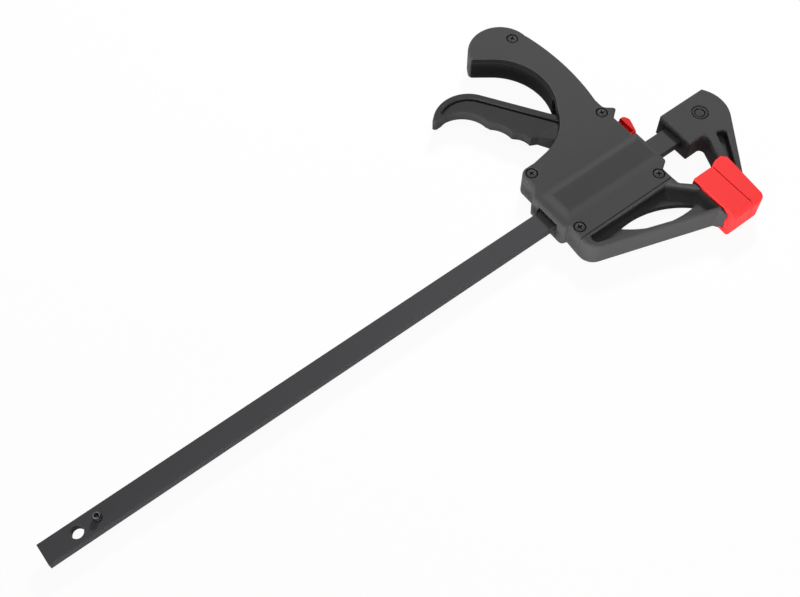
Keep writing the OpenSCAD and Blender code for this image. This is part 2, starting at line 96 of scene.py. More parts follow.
MM = 0.001
UP = Vector((0, 0, 1))
BLACK, WHITE = (0.0, 0.0, 0.0, 1.0), (1.0, 1.0, 1.0, 1.0)
SPARE = 0.02 * MM  # how far the outline of a rounding tool stands outside the CAD solid that it trims
PAST = 1 * MM  # how far a cutting tool runs past the piece
WELD = 0.001 * MM  # points closer than this become one
STRAIGHT = 0.001  # the sine of a turn below which an outline counts as straight
PARALLEL = 0.03  # the sine of an angle below which two edges count as parallel
LOG = logging.getLogger("clamp")
Colour = tuple[float, float, float]


# ---------------------------------------------------------------- shader nodes


class Graph:
    """Adds and links nodes in one node tree."""

    def __init__(self, tree: bpy.types.NodeTree) -> None:
        """Keeps the tree to build in."""
        self.tree = tree

    def add(self, kind: str, values: dict | None = None, **settings: object) -> bpy.types.Node:
        """Adds one node.

        Args:
            kind: the node's type identifier.
            values: input name or index to a value, or to an output socket that is linked to it.
            settings: properties of the node itself.

        Returns:
            The new node.
        """
        node = self.tree.nodes.new(kind)
        for name, value in settings.items():
            setattr(node, name, value)
        for key, value in (values or {}).items():
            if isinstance(value, bpy.types.NodeSocket):
                self.tree.links.new(value, node.inputs[key])
            else:
                node.inputs[key].default_value = value
        return node

    def maths(self, operation: str, *values: object, clamp: bool = False) -> bpy.types.NodeSocket:
        """A Math node's result from numbers or sockets, held between 0 and 1 if clamp is set."""
        node = self.add("ShaderNodeMath", dict(enumerate(values)), operation=operation, use_clamp=clamp)
        return node.outputs[0]

    def vector(self, operation: str, *values: object, out: str = "Vector") -> bpy.types.NodeSocket:
        """A Vector Math node's result from vectors or sockets: its Vector, or its Value."""
        return self.add("ShaderNodeVectorMath", dict(enumerate(values)), operation=operation).outputs[out]

    def blend(self, factor: object, low: object, high: object) -> bpy.types.NodeSocket:
        """The mix of two colours or sockets, by the share of the second."""
        return self.add("ShaderNodeMix", {0: factor, 6: low, 7: high}, data_type="RGBA").outputs[2]

    def faces(self, cosine: bpy.types.NodeSocket) -> bpy.types.NodeSocket:
        """1 where a surface faces a way, from the angle's cosine, and 0 from about 53 degrees."""
        return self.maths("MULTIPLY_ADD", cosine, 6.0, -3.6, clamp=True)


def shader_group(name: str, inputs: dict[str, tuple[str, float]], outputs: dict[str, str]) -> tuple:
    """Starts a shader node group with named sockets.

    Args:
        name: the group's name.
        inputs: socket name to its kind and default value.
        outputs: socket name to its kind.

    Returns:
        The tree, its Graph, its input node and its output node.
    """
    tree = bpy.data.node_groups.new(name, "ShaderNodeTree")
    for key, (kind, default) in inputs.items():
        socket = tree.interface.new_socket(name=key, in_out="INPUT", socket_type="NodeSocket" + kind)
        if kind == "Float":
            socket.default_value = default
    for key, kind in outputs.items():
        tree.interface.new_socket(name=key, in_out="OUTPUT", socket_type="NodeSocket" + kind)
    graph = Graph(tree)
    return tree, graph, graph.add("NodeGroupInput"), graph.add("NodeGroupOutput")


class SharedEffects:
    """The node groups that more than one finish uses, each built once."""

    def __init__(self) -> None:
        """Builds the groups."""
        self.grain = self._grain()
        self.edges = self._edges()

    @staticmethod
    def _grain() -> bpy.types.NodeTree:
        """Fine moulded or blasted grain with slow colour mottling.

        Returns:
            The group: Height as a share of the grain's depth, and Mottle from 0 to 1.
        """
        tree, graph, given, result = shader_group(
            "Surface grain",
            {"Vector": ("Vector", 0.0), "Grain size": ("Float", 0.0004), "Mottle size": ("Float", 0.02)},
            {"Height": "Float", "Mottle": "Float"},
        )
        fine = graph.add("ShaderNodeTexNoise", {
            "Vector": given.outputs["Vector"], "Detail": 3.0, "Roughness": 0.6,
            "Scale": graph.maths("DIVIDE", 1.0, given.outputs["Grain size"]),
        })
        pits = graph.add("ShaderNodeTexVoronoi", {
            "Vector": given.outputs["Vector"],
            "Scale": graph.maths("DIVIDE", 0.8, given.outputs["Grain size"]),
        }, feature="SMOOTH_F1")
        height = graph.maths("ADD", graph.maths("MULTIPLY", fine.outputs["Fac"], 0.7),
                             graph.maths("MULTIPLY", pits.outputs["Distance"], 0.5))
        slow = graph.add("ShaderNodeTexNoise", {
            "Vector": given.outputs["Vector"], "Detail": 4.0, "Roughness": 0.55,
            "Scale": graph.maths("DIVIDE", 1.0, given.outputs["Mottle size"]),
        })
        tree.links.new(height, result.inputs["Height"])
        tree.links.new(slow.outputs["Fac"], result.inputs["Mottle"])
        return tree

    @staticmethod
    def _edges() -> bpy.types.NodeTree:
        """Softened corners, and a mask of where hands and work rub them.

        Returns:
            The group: Normal with softened corners, and Mask, 1 along edges.
        """
        tree, graph, given, result = shader_group(
            "Rubbed edges",
            {"Vector": ("Vector", 0.0), "Break-up size": ("Float", 0.004)},
            {"Normal": "Vector", "Mask": "Float"},
        )
        soft = graph.add("ShaderNodeBevel", {"Radius": 0.3 * MM}, samples=4)
        true = graph.add("ShaderNodeNewGeometry")
        same = graph.vector("DOT_PRODUCT", soft.outputs[0], true.outputs["Normal"], out="Value")
        turned = graph.maths("MULTIPLY", graph.maths("SUBTRACT", 1.0, same), 6.0, clamp=True)
        patchy = graph.add("ShaderNodeTexNoise", {
            "Vector": given.outputs["Vector"], "Detail": 3.0,
            "Scale": graph.maths("DIVIDE", 1.0, given.outputs["Break-up size"]),
        })
        worn = graph.maths("MULTIPLY_ADD", patchy.outputs["Fac"], 1.6, -0.3, clamp=True)
        tree.links.new(soft.outputs[0], result.inputs["Normal"])
        tree.links.new(graph.maths("MULTIPLY", turned, worn), result.inputs["Mask"])
        return tree


@dataclass(frozen=True)
class PaintedShade:
    """Painted shade on a moulding: the colour darkened on the wall near a middle that faces it, and above a
    crest, where shade falls.

    Lengths are metres; depth and crest_depth are the shares of the colour that the painted shade takes away.
    """

    middle: Vector
    reach: float
    fade: float
    depth: float
    crest: float
    crest_fade: float
    crest_depth: float

    def darken(self, graph: Graph, colour: bpy.types.NodeSocket) -> bpy.types.NodeSocket:
        """Paints shade on the wall and the crest by darkening the colour.

        Args:
            graph: the material's nodes.
            colour: the colour elsewhere.

        Returns:
            The colour with the painted shade.
        """
        where = graph.add("ShaderNodeTexCoord").outputs
        flat = graph.vector("MULTIPLY", graph.vector("SUBTRACT", self.middle, where["Object"]), (1, 1, 0))
        faced = graph.vector("DOT_PRODUCT", graph.vector("NORMALIZE", flat), where["Normal"], out="Value")
        far = graph.vector("LENGTH", flat, out="Value")
        near = graph.maths("DIVIDE", graph.maths("SUBTRACT", self.reach, far), self.fade, clamp=True)
        wall = graph.maths("MULTIPLY", graph.maths("MULTIPLY", graph.faces(faced), near), self.depth)
        rise = graph.add("ShaderNodeSeparateXYZ", {0: where["Object"]}).outputs["Z"]
        above = graph.maths("DIVIDE", graph.maths("SUBTRACT", rise, self.crest), self.crest_fade, clamp=True)
        share = graph.maths("MAXIMUM", wall, graph.maths("MULTIPLY", above, self.crest_depth))
        return graph.blend(share, colour, BLACK)


@dataclass(frozen=True)
class Surface:
    """What every finish shares: a mottled colour, paler rubbed edges and a fine grain. Lengths are metres.

    mottle and roughness_spread are how far colour and roughness wander; edge_lift is how far a rubbed edge
    goes towards the grey rub_to, and rub_share how much of that shows; relief is the grain's strength.
    """

    name: str
    colour: Colour
    roughness: float
    grain_size: float = 0.5 * MM
    grain_depth: float = 0.02 * MM
    mottle_size: float = 20 * MM
    mottle: float = 0.12
    edge_lift: float = 0.5
    specular: float = 0.5
    rub_to: ClassVar[float] = 0.6
    rub_share: ClassVar[float] = 0.7
    roughness_spread: ClassVar[float] = 0.16
    relief: ClassVar[float] = 0.5

    def material(self, effects: SharedEffects) -> bpy.types.Material:
        """Builds the material.

        Args:
            effects: the shared node groups.

        Returns:
            The material.
        """
        made = bpy.data.materials.new(self.name)
        made.use_nodes = True
        graph = Graph(made.node_tree)
        where = graph.add("ShaderNodeTexCoord").outputs["Object"]
        grain = graph.add("ShaderNodeGroup", {
            "Vector": self.drawn(graph, where), "Grain size": self.grain_size,
            "Mottle size": self.mottle_size}, node_tree=effects.grain).outputs
        edges = graph.add("ShaderNodeGroup", {"Vector": where}, node_tree=effects.edges).outputs
        body = graph.blend(grain["Mottle"], self.tone(1 - self.mottle), self.tone(1 + self.mottle))
        rubbed = self.tone(1 - self.edge_lift, self.rub_to * self.edge_lift)
        coloured = graph.blend(graph.maths("MULTIPLY", edges["Mask"], self.rub_share), body, rubbed)
        bump = graph.add("ShaderNodeBump", {
            "Strength": self.relief, "Distance": self.grain_depth,
            "Height": grain["Height"], "Normal": edges["Normal"]})
        rough = graph.maths("MULTIPLY_ADD", grain["Mottle"], self.roughness_spread,
                            self.roughness - self.roughness_spread / 2)
        sockets = made.node_tree.nodes["Principled BSDF"].inputs
        made.node_tree.links.new(self.shaded(graph, coloured), sockets["Base Color"])
        made.node_tree.links.new(rough, sockets["Roughness"])
        made.node_tree.links.new(bump.outputs[0], sockets["Normal"])
        for name, value in self.constants().items():
            sockets[name].default_value = value
        return made

    def tone(self, scale: float, shift: float = 0.0) -> tuple[float, float, float, float]:
        """The colour scaled and shifted."""
        return (*[min(1.0, c * scale + shift) for c in self.colour], 1.0)

    def drawn(self, graph: Graph, where: bpy.types.NodeSocket) -> bpy.types.NodeSocket:
        """The places at which the grain is read."""
        return where

    def shaded(self, graph: Graph, colour: bpy.types.NodeSocket) -> bpy.types.NodeSocket:
        """The colour with this kind's painted shade, if it has any."""
        return colour

    def constants(self) -> dict[str, float]:
        """The shader's plain values."""
        return {"Specular IOR Level": self.specular}


@dataclass(frozen=True)
class Moulding(Surface):
    """A moulded plastic finish, with painted shade on a wall and above a crest if it has one."""

    mottle_size: float = 18 * MM
    mottle: float = 0.08
    edge_lift: float = 0.25
    subsurface: float = 0.0
    subsurface_depth: float = 1.5 * MM
    # painted shade darkening a wall and a crest, if the finish has one
    painted_shade: PaintedShade | None = None
    rub_to: ClassVar[float] = 0.5
    rub_share: ClassVar[float] = 0.5
    roughness_spread: ClassVar[float] = 0.12
    relief: ClassVar[float] = 0.6

    def shaded(self, graph: Graph, colour: bpy.types.NodeSocket) -> bpy.types.NodeSocket:
        """The colour, with painted shade on the wall and the crest."""
        return self.painted_shade.darken(graph, colour) if self.painted_shade else colour

    def constants(self) -> dict[str, float]:
        """The shader's plain values."""
        return {**super().constants(), "Subsurface Weight": self.subsurface,
                "Subsurface Scale": self.subsurface_depth}


@dataclass(frozen=True)
class Metal(Surface):
    """A steel finish: bare, plated or blackened, its grain drawn out by draw.

    The faces along y, such as a bar's narrow sides, get painted shade that takes a share of the colour off
    there.
    """

    metallic: float = 1.0
    draw: tuple[float, float, float] = (1.0, 1.0, 1.0)
    narrow_side_shade: float = 0.0

    def drawn(self, graph: Graph, where: bpy.types.NodeSocket) -> bpy.types.NodeSocket:
        """The places at which the grain is read, scaled so that it is drawn out."""
        return graph.add("ShaderNodeMapping", {"Vector": where, "Scale": self.draw}).outputs[0]

    def shaded(self, graph: Graph, colour: bpy.types.NodeSocket) -> bpy.types.NodeSocket:
        """Paints shade on the narrow sides, if the finish has any.

        Args:
            graph: the material's nodes.
            colour: the colour elsewhere.

        Returns:
            The colour with the painted shade on the narrow sides.
        """
        if not self.narrow_side_shade:
            return colour
        normal = graph.add("ShaderNodeSeparateXYZ", {0: graph.add("ShaderNodeTexCoord").outputs["Normal"]})
        narrow = graph.faces(graph.maths("ABSOLUTE", normal.outputs["Y"]))
        return graph.blend(graph.maths("MULTIPLY", narrow, self.narrow_side_shade), colour, BLACK)

    def constants(self) -> dict[str, float]:
        """The shader's plain values."""
        return {**super().constants(), "Metallic": self.metallic}


# Painted shade on the housing: the palm's inner wall loses 87% of its colour and the top of the raised back
# 19%, where shade falls.
PALM_SHADE = PaintedShade(
    middle=Vector((339.0, 76.0, 0.0)) * MM, reach=58 * MM, fade=12 * MM, depth=0.87,
    crest=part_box("front_cover")[1].z - 0.55 * MM, crest_fade=0.5 * MM, crest_depth=0.19)
GREY_NYLON = {"colour": (0.055, 0.055, 0.056), "roughness": 0.72, "grain_size": 0.32 * MM,
              "grain_depth": 0.05 * MM, "specular": 0.07}


class Finish(Enum):
    """The finishes of this clamp."""

    NYLON = Moulding("Grained grey nylon", **GREY_NYLON)
    # The housing finish carries the painted palm and crest shade.
    HOUSING = Moulding("Grained grey nylon with painted palm and crest shade", **GREY_NYLON, painted_shade=PALM_SHADE)
    TRIGGER = Moulding("Trigger nylon", (0.034, 0.034, 0.0345), 0.7, 0.34 * MM, 0.045 * MM, specular=0.07)
    PAD = Moulding("Soft red pad", (0.82, 0.038, 0.039), 0.55, 0.5 * MM, 0.02 * MM,
                   mottle=0.03, edge_lift=0.04, specular=0.07, subsurface=0.03)
    BUTTON = Moulding("Red button plastic", (0.62, 0.02, 0.02), 0.5, 0.5 * MM, 0.006 * MM,
                      mottle=0.04, edge_lift=0.08, specular=0.05)
    # The bar's narrow sides carry painted shade.
    BAR = Metal("Blackened bar steel", (0.052, 0.052, 0.055), 0.62, grain_depth=0.004 * MM, edge_lift=0.03,
                specular=0.08, metallic=0.0, draw=(0.12, 1.0, 1.0), narrow_side_shade=0.35)
    PIN = Metal("Blackened spring steel", (0.035, 0.035, 0.037), 0.42, metallic=0.5)
    SCREW = Metal("Dark plated screw", (0.036, 0.036, 0.037), 0.5,
                  edge_lift=0.25, specular=0.1, metallic=0.05)
    BOLT = Metal("Dark plated bolt", (0.042, 0.042, 0.043), 0.6,
                 edge_lift=0.15, specular=0.08, metallic=0.0)
    PLATE = Metal("Stamped plate steel", (0.36, 0.36, 0.37), 0.38, draw=(1.0, 0.1, 1.0))
    WIRE = Metal("Drawn spring wire", (0.42, 0.42, 0.43), 0.3)


class Paintbox:
    """Hands out one material for each finish."""

    def __init__(self) -> None:
        """Starts with the shared effects and no material."""
        self.effects = SharedEffects()
        self.made: dict[Finish, bpy.types.Material] = {}

    def material(self, finish: Finish) -> bpy.types.Material:
        """The finish's material, built when first asked for.

        Args:
            finish: the finish.

        Returns:
            Its material.
        """
        if finish not in self.made:
            self.made[finish] = finish.value.material(self.effects)
        return self.made[finish]

    def paint(self, piece: bpy.types.Object, finish: Finish) -> None:
        """Gives a piece one finish all over."""
        piece.data.materials.clear()
        piece.data.materials.append(self.material(finish))


# ---------------------------------------------------------------- the CAD nodes


def middle(node: str) -> Vector:
    """The middle of a CAD node's box."""
    low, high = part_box(node)
    return (low + high) / 2


def foot(node: str) -> Vector:
    """Where the upright axis through the middle of a CAD node's box meets height 0."""
    return Vector((*middle(node).xy, 0.0))


def merged(node: str) -> bmesh.types.BMesh:
    """A CAD node's mesh with its points merged.

    Args:
        node: the CAD node's name.

    Returns:
        The mesh, which the caller frees.
    """
    mesh = bmesh.new()
    mesh.from_mesh(frame["nodes"][node].data)
    bmesh.ops.remove_doubles(mesh, verts=mesh.verts, dist=WELD)
    return mesh


def node_copy(node: str, name: str) -> bpy.types.Object:
    """A merged copy of a CAD node's mesh.

    Args:
        node: the CAD node's name.
        name: the copy's name.

    Returns:
        The copy, in the scene.
    """
    mesh, data = merged(node), bpy.data.meshes.new(name)
    mesh.to_mesh(data)
    mesh.free()
    return place(name, data)


def place(name: str, data: bpy.types.ID) -> bpy.types.Object:
    """Puts a mesh, camera or lamp in the scene as an object at the origin.

    Args:
        name: the object's name.
        data: the mesh, camera or lamp.

    Returns:
        The object.
    """
    made = bpy.data.objects.new(name, data)
    bpy.context.scene.collection.objects.link(made)
    return made


# ---------------------------------------------------------------- outlines


def clean_loop(points: np.ndarray, longest: float) -> np.ndarray:
    """Drops points on straight stretches, then splits long edges evenly.

    Args:
        points: the loop's points, n by 2.
        longest: the longest edge that may remain.

    Returns:
        The loop, anticlockwise.
    """
    area = np.sum(points[:, 0] * np.roll(points[:, 1], -1) - np.roll(points[:, 0], -1) * points[:, 1])
    loop = points if area > 0 else points[::-1]
    before, after = loop - np.roll(loop, 1, axis=0), np.roll(loop, -1, axis=0) - loop
    turn = before[:, 0] * after[:, 1] - before[:, 1] * after[:, 0]
    scale = np.linalg.norm(before, axis=1) * np.linalg.norm(after, axis=1)
    loop = loop[np.abs(turn) > STRAIGHT * scale]
    parts = []
    for start, end in zip(loop, np.roll(loop, -1, axis=0)):
        count = max(1, math.ceil(np.linalg.norm(end - start) / longest))
        parts.extend(start + (end - start) * k / count for k in range(count))
    return np.array(parts)


def section(node: str, height: float, longest: float = 2.5 * MM) -> list[np.ndarray]:
    """The closed outlines in which a plane of constant height cuts a CAD node.

    Args:
        node: the CAD node's name.
        height: the plane's height.
        longest: the longest edge in the result.

    Returns:
        The outlines, anticlockwise, the largest first.
    """
    mesh = merged(node)
    cut = bmesh.ops.bisect_plane(
        mesh, geom=[*mesh.verts, *mesh.edges, *mesh.faces], dist=1e-7,
        plane_co=(0, 0, height), plane_no=(0, 0, 1), clear_inner=True)["geom_cut"]
    edges = [e for e in cut if isinstance(e, bmesh.types.BMEdge)]
    beside: dict = {}
    for edge in edges:
        for vert in edge.verts:
            beside.setdefault(vert, []).append(edge)
    loops, used = [], set()
    for edge in edges:
        if edge in used:
            continue
        vert, loop = edge.verts[0], []
        while edge is not None and edge not in used:
            used.add(edge)
            loop.append(vert.co.xy[:])
            vert = edge.other_vert(vert)
            edge = next((e for e in beside[vert] if e not in used), None)
        loops.append(clean_loop(np.array(loop), longest))
    mesh.free()
    return sorted(loops, key=lambda p: -abs(loop_area(p)))


def loop_area(points: np.ndarray) -> float:
    """The area inside a loop, negative if it runs clockwise."""
    x, y = points[:, 0], points[:, 1]
    return float(np.sum(x * np.roll(y, -1) - np.roll(x, -1) * y) / 2)


def inset(points: np.ndarray, distances: np.ndarray) -> np.ndarray:
    """Moves each edge of an anticlockwise loop inwards, and lets edges that would turn round close up.

    Args:
        points: the loop's points, n by 2.
        distances: how far each edge moves; edge i starts at point i.

    Returns:
        The new place of each point.
    """
    count = len(points)
    ahead = np.roll(points, -1, axis=0) - points
    along = ahead / np.linalg.norm(ahead, axis=1)[:, None]
    inward = np.stack([-along[:, 1], along[:, 0]], axis=1) * distances[:, None]
    begin, end = points + inward, np.roll(points, -1, axis=0) + inward
    kept = np.arange(count)
    while True:
        last = np.roll(kept, 1)
        u, v = along[last], along[kept]
        gap = begin[kept] - end[last]
        cross = u[:, 0] * v[:, 1] - u[:, 1] * v[:, 0]
        steep = np.abs(cross) > PARALLEL
        reach = (gap[:, 0] * v[:, 1] - gap[:, 1] * v[:, 0]) / np.where(steep, cross, 1.0)
        corners = np.where(steep[:, None], end[last] + u * reach[:, None], (end[last] + begin[kept]) / 2)
        left = np.sum((np.roll(corners, -1, axis=0) - corners) * along[kept], axis=1)
        worst = int(np.argmin(left))
        if left[worst] > 0 or len(kept) <= 4:
            break
        kept = np.delete(kept, worst)
    moved = np.empty_like(points)
    for k, edge in enumerate(kept):
        first = (kept[k - 1] + 1) % count
        span = (edge - first) % count + 1
        for step in range(span):
            moved[(first + step) % count] = corners[k]
    return moved


def inside_loop(points: np.ndarray, loop: np.ndarray) -> np.ndarray:
    """Which points lie inside a loop.

    Args:
        points: the points, m by 2.
        loop: the loop, n by 2.

    Returns:
        One truth value for each point.
    """
    x, y = points[:, :1], points[:, 1:]
    ax, ay = loop[:, 0], loop[:, 1]
    bx, by = np.roll(ax, -1), np.roll(ay, -1)
    spans = (ay > y) != (by > y)
    rise = np.where(by == ay, 1.0, by - ay)
    return (np.sum(spans & (x < (bx - ax) * (y - ay) / rise + ax), axis=1) % 2).astype(bool)


def distance(points: np.ndarray, starts: np.ndarray, ends: np.ndarray) -> np.ndarray:
    """Each point's distance from the nearest of some straight pieces.

    Args:
        points: the points, m by 2.
        starts: where the pieces start, n by 2.
        ends: where they end, n by 2.

    Returns:
        The distances.
    """
    along = ends - starts
    reach = points[:, None, :] - starts[None]
    share = np.clip(np.sum(reach * along, axis=2) / np.sum(along * along, axis=1), 0, 1)
    return np.min(np.linalg.norm(reach - along * share[:, :, None], axis=2), axis=1)


def ease(values: np.ndarray) -> np.ndarray:
    """A smooth step from 0 at 0 to 1 at 1."""
    held = np.clip(values, 0, 1)
    return held * held * (3 - 2 * held)


# ---------------------------------------------------------------- solids


class Shell:
    """Gathers a mesh's points and faces, and joins points that fall together."""

    def __init__(self) -> None:
        """Starts empty."""
        self.places: dict[tuple, int] = {}
        self.faces: list[list[int]] = []

    def point(self, x: float, y: float, z: float) -> int:
        """The index of the point at a place."""
        return self.places.setdefault((round(x, 7), round(y, 7), round(z, 7)), len(self.places))

    def ring(self, loop: np.ndarray, heights: np.ndarray) -> list[int]:
        """The indices of a ring's points, from their places and their heights."""
        return [self.point(x, y, z) for (x, y), z in zip(loop.tolist(), heights.tolist())]

    def face(self, corners: Iterable[int]) -> None:
        """Adds a face, without the corners that repeat, if three are left.

        Args:
            corners: the corners' indices, in order.
        """
        ids = list(corners)
        ids = [c for k, c in enumerate(ids) if c != ids[k - 1]]
        if len(set(ids)) > 2:
            self.faces.append(ids)

    def loft(self, rings: Sequence[list[int]], lid: bool = True) -> None:
        """Joins anticlockwise rings with quads that face outwards, and closes the ends.

        Args:
            rings: the rings, from the lowest.
            lid: whether the last ring is closed too.
        """
        for lower, upper in zip(rings, rings[1:]):
            for k in range(len(lower)):
                n = (k + 1) % len(lower)
                self.face([lower[k], lower[n], upper[n], upper[k]])
        self.face(reversed(rings[0]))
        if lid:
            self.face(rings[-1])

    def build(self, name: str) -> bpy.types.Object:
        """Makes the object, with its faces pointing outwards.

        Args:
            name: the object's name.

        Returns:
            The object, in the scene.
        """
        data = bpy.data.meshes.new(name)
        data.from_pydata(list(self.places), [], self.faces)
        mesh = bmesh.new()
        mesh.from_mesh(data)
        bmesh.ops.recalc_face_normals(mesh, faces=mesh.faces)
        mesh.to_mesh(data)
        mesh.free()
        return place(name, data)


Scales = Callable[[np.ndarray, np.ndarray], np.ndarray]
Crown = Callable[[np.ndarray], np.ndarray]


@dataclass
class SoftSlab:
    """A flat moulding with rounded upper and lower edges, built on an outline.

    scales gives each edge's share of the rounding, from its middle and its outward direction.
    crown gives how far the top stands above its flat height at a place, and crown_grid where it bends.
    """

    outline: np.ndarray
    low: float
    high: float
    low_edge: float = 0.0
    high_edge: float = 0.0
    grow: float = 0.0
    steps: int = 6
    scales: Scales | None = None
    crown: Crown | None = None
    crown_grid: np.ndarray | None = None
    rim_gap: float = 0.3 * MM

    def _shares(self) -> np.ndarray:
        """Each edge's share of the rounding.

        Returns:
            One number for each edge.
        """
        if self.scales is None:
            return np.ones(len(self.outline))
        ahead = np.roll(self.outline, -1, axis=0) - self.outline
        outward = np.stack([ahead[:, 1], -ahead[:, 0]], axis=1) / np.linalg.norm(ahead, axis=1)[:, None]
        return self.scales(self.outline + ahead / 2, outward)

    def _levels(self) -> list[tuple[float, float, bool]]:
        """The rings that round the edges, from the lowest.

        Returns:
            Each ring's inset and height, and whether it belongs to the upper edge.
        """
        turns = [math.pi / 2 * k / self.steps for k in range(self.steps + 1)]
        levels = [(self.low_edge * (1 - math.sin(a)), self.low + self.low_edge * (1 - math.cos(a)), False)
                  for a in turns]
        levels += [(self.high_edge * (1 - math.cos(a)), self.high - self.high_edge * (1 - math.sin(a)), True)
                   for a in turns]
        return [v for k, v in enumerate(levels) if k == 0 or v[:2] != levels[k - 1][:2]]

    def build(self, name: str) -> bpy.types.Object:
        """Makes the solid.

        Args:
            name: the object's name.

        Returns:
            The object.
        """
        shell, shares, rings = Shell(), self._shares(), []
        for depth, height, upper in self._levels():
            loop = inset(self.outline, shares * depth - self.grow)
            heights = np.full(len(loop), height)
            if self.crown is not None and upper:
                heights = heights + self.crown(loop)
            rings.append(shell.ring(loop, heights))
        shell.loft(rings, lid=self.crown is None)
        if self.crown is not None:
            self._cap(shell, loop, rings[-1])
        return shell.build(name)

    def _cap(self, shell: Shell, rim: np.ndarray, rim_ids: list[int]) -> None:
        """Closes a crowned top with triangles that follow the crown.

        Args:
            shell: the mesh being gathered.
            rim: the last ring's places.
            rim_ids: the last ring's points.
        """
        keep = [k for k in range(len(rim)) if rim_ids[k] != rim_ids[k - 1]]
        loop, grid = rim[keep], self.crown_grid
        inside = grid[inside_loop(grid, inset(loop, np.full(len(loop), self.rim_gap)))]
        ids = [rim_ids[k] for k in keep] + shell.ring(inside, self.high + self.crown(inside))
        points = [Vector(p) for p in (*loop.tolist(), *inside.tolist())]
        edges = [(k, (k + 1) % len(loop)) for k in range(len(loop))]
        made = geometry.delaunay_2d_cdt(points, edges, [list(range(len(loop)))], 1, 1e-9)
        faces, sources = made[2], made[3]
        for face in faces:
            shell.face([ids[sources[k][0]] for k in face])


def lathe(name: str, profile: Sequence[tuple[float, float]], centre: Vector, axis: Vector = UP,
          sides: int = 48) -> bpy.types.Object:
    """Turns a profile round an axis into a closed solid.

    Args:
        name: the object's name.
        profile: radius and height along the axis, from one end to the other.
        centre: where height 0 lies.
        axis: the axis' direction.
        sides: faces round the axis.

    Returns:
        The object.
    """
    shell, rings = Shell(), []
    turn = UP.rotation_difference(axis).to_matrix()
    angles = [2 * math.pi * k / sides for k in range(sides)]
    for radius, height in profile:
        spots = [centre + turn @ Vector((radius * math.cos(a), radius * math.sin(a), height)) for a in angles]
        rings.append([shell.point(*spot) for spot in spots])
    shell.loft(rings)
    return shell.build(name)


def box_solid(name: str, low: Sequence[float], high: Sequence[float]) -> bpy.types.Object:
    """A cutting block.

    Args:
        name: the object's name.
        low: its lowest corner.
        high: its highest corner.

    Returns:
        The object.
    """
    loop = np.array([(low[0], low[1]), (high[0], low[1]), (high[0], high[1]), (low[0], high[1])])
    shell = Shell()
    shell.loft([shell.ring(loop, np.full(4, height)) for height in (low[2], high[2])])
    return shell.build(name)


class Carve(Enum):
    """What a second solid does to the first."""

    CUT = "DIFFERENCE"
    KEEP = "INTERSECT"
    JOIN = "UNION"


def bake_modifiers(piece: bpy.types.Object) -> bpy.types.Object:
    """Turns a piece and its modifiers into one plain mesh.

    Args:
        piece: the object.

    Returns:
        The same object.
    """
    bpy.context.view_layer.update()
    old = piece.data
    baked = bpy.data.meshes.new_from_object(piece.evaluated_get(bpy.context.evaluated_depsgraph_get()))
    piece.modifiers.clear()
    piece.data = baked
    if old.users == 0:
        bpy.data.meshes.remove(old)
    return piece


def carve(piece: bpy.types.Object, tool: bpy.types.Object, how: Carve) -> bpy.types.Object:
    """Cuts, keeps or joins a piece with a tool solid, which is used up.

    Args:
        piece: the piece.
        tool: the tool solid.
        how: what the tool does.

    Returns:
        The piece.
    """
    before = len(piece.data.vertices)
    step = piece.modifiers.new("carve", "BOOLEAN")
    step.operation, step.solver, step.object = how.value, "MANIFOLD", tool
    bake_modifiers(piece)
    if len(piece.data.vertices) == before:
        LOG.warning("%s: %s by %s changed nothing", piece.name, how.name, tool.name)
    bpy.data.objects.remove(tool)
    return piece


def trimmed(node: str, name: str, tool: bpy.types.Object) -> bpy.types.Object:
    """A copy of a CAD node, kept where a tool solid is, which is used up."""
    return carve(node_copy(node, name), tool, Carve.KEEP)


def shade(piece: bpy.types.Object, angle_deg: float = 30.0) -> bpy.types.Object:
    """Smooths a finished piece apart from its sharp edges, with normals held by its large faces.

    Args:
        piece: the piece.
        angle_deg: the angle from which an edge stays sharp.

    Returns:
        The piece.
    """
    mesh = bmesh.new()
    mesh.from_mesh(piece.data)
    bmesh.ops.remove_doubles(mesh, verts=mesh.verts, dist=2 * WELD)
    bmesh.ops.dissolve_degenerate(mesh, edges=mesh.edges, dist=2 * WELD)
    mesh.to_mesh(piece.data)
    mesh.free()
    piece.data.shade_smooth()
    piece.data.set_sharp_from_angle(angle=math.radians(angle_deg))
    weigh = piece.modifiers.new("weigh", "WEIGHTED_NORMAL")
    weigh.keep_sharp = True
    return bake_modifiers(piece)


# ---------------------------------------------------------------- geometry node trees


class Sockets(Enum):
    """Kinds of socket that the geometry trees take."""

    NUMBER = "NodeSocketFloat"
    OBJECT = "NodeSocketObject"
    MATERIAL = "NodeSocketMaterial"


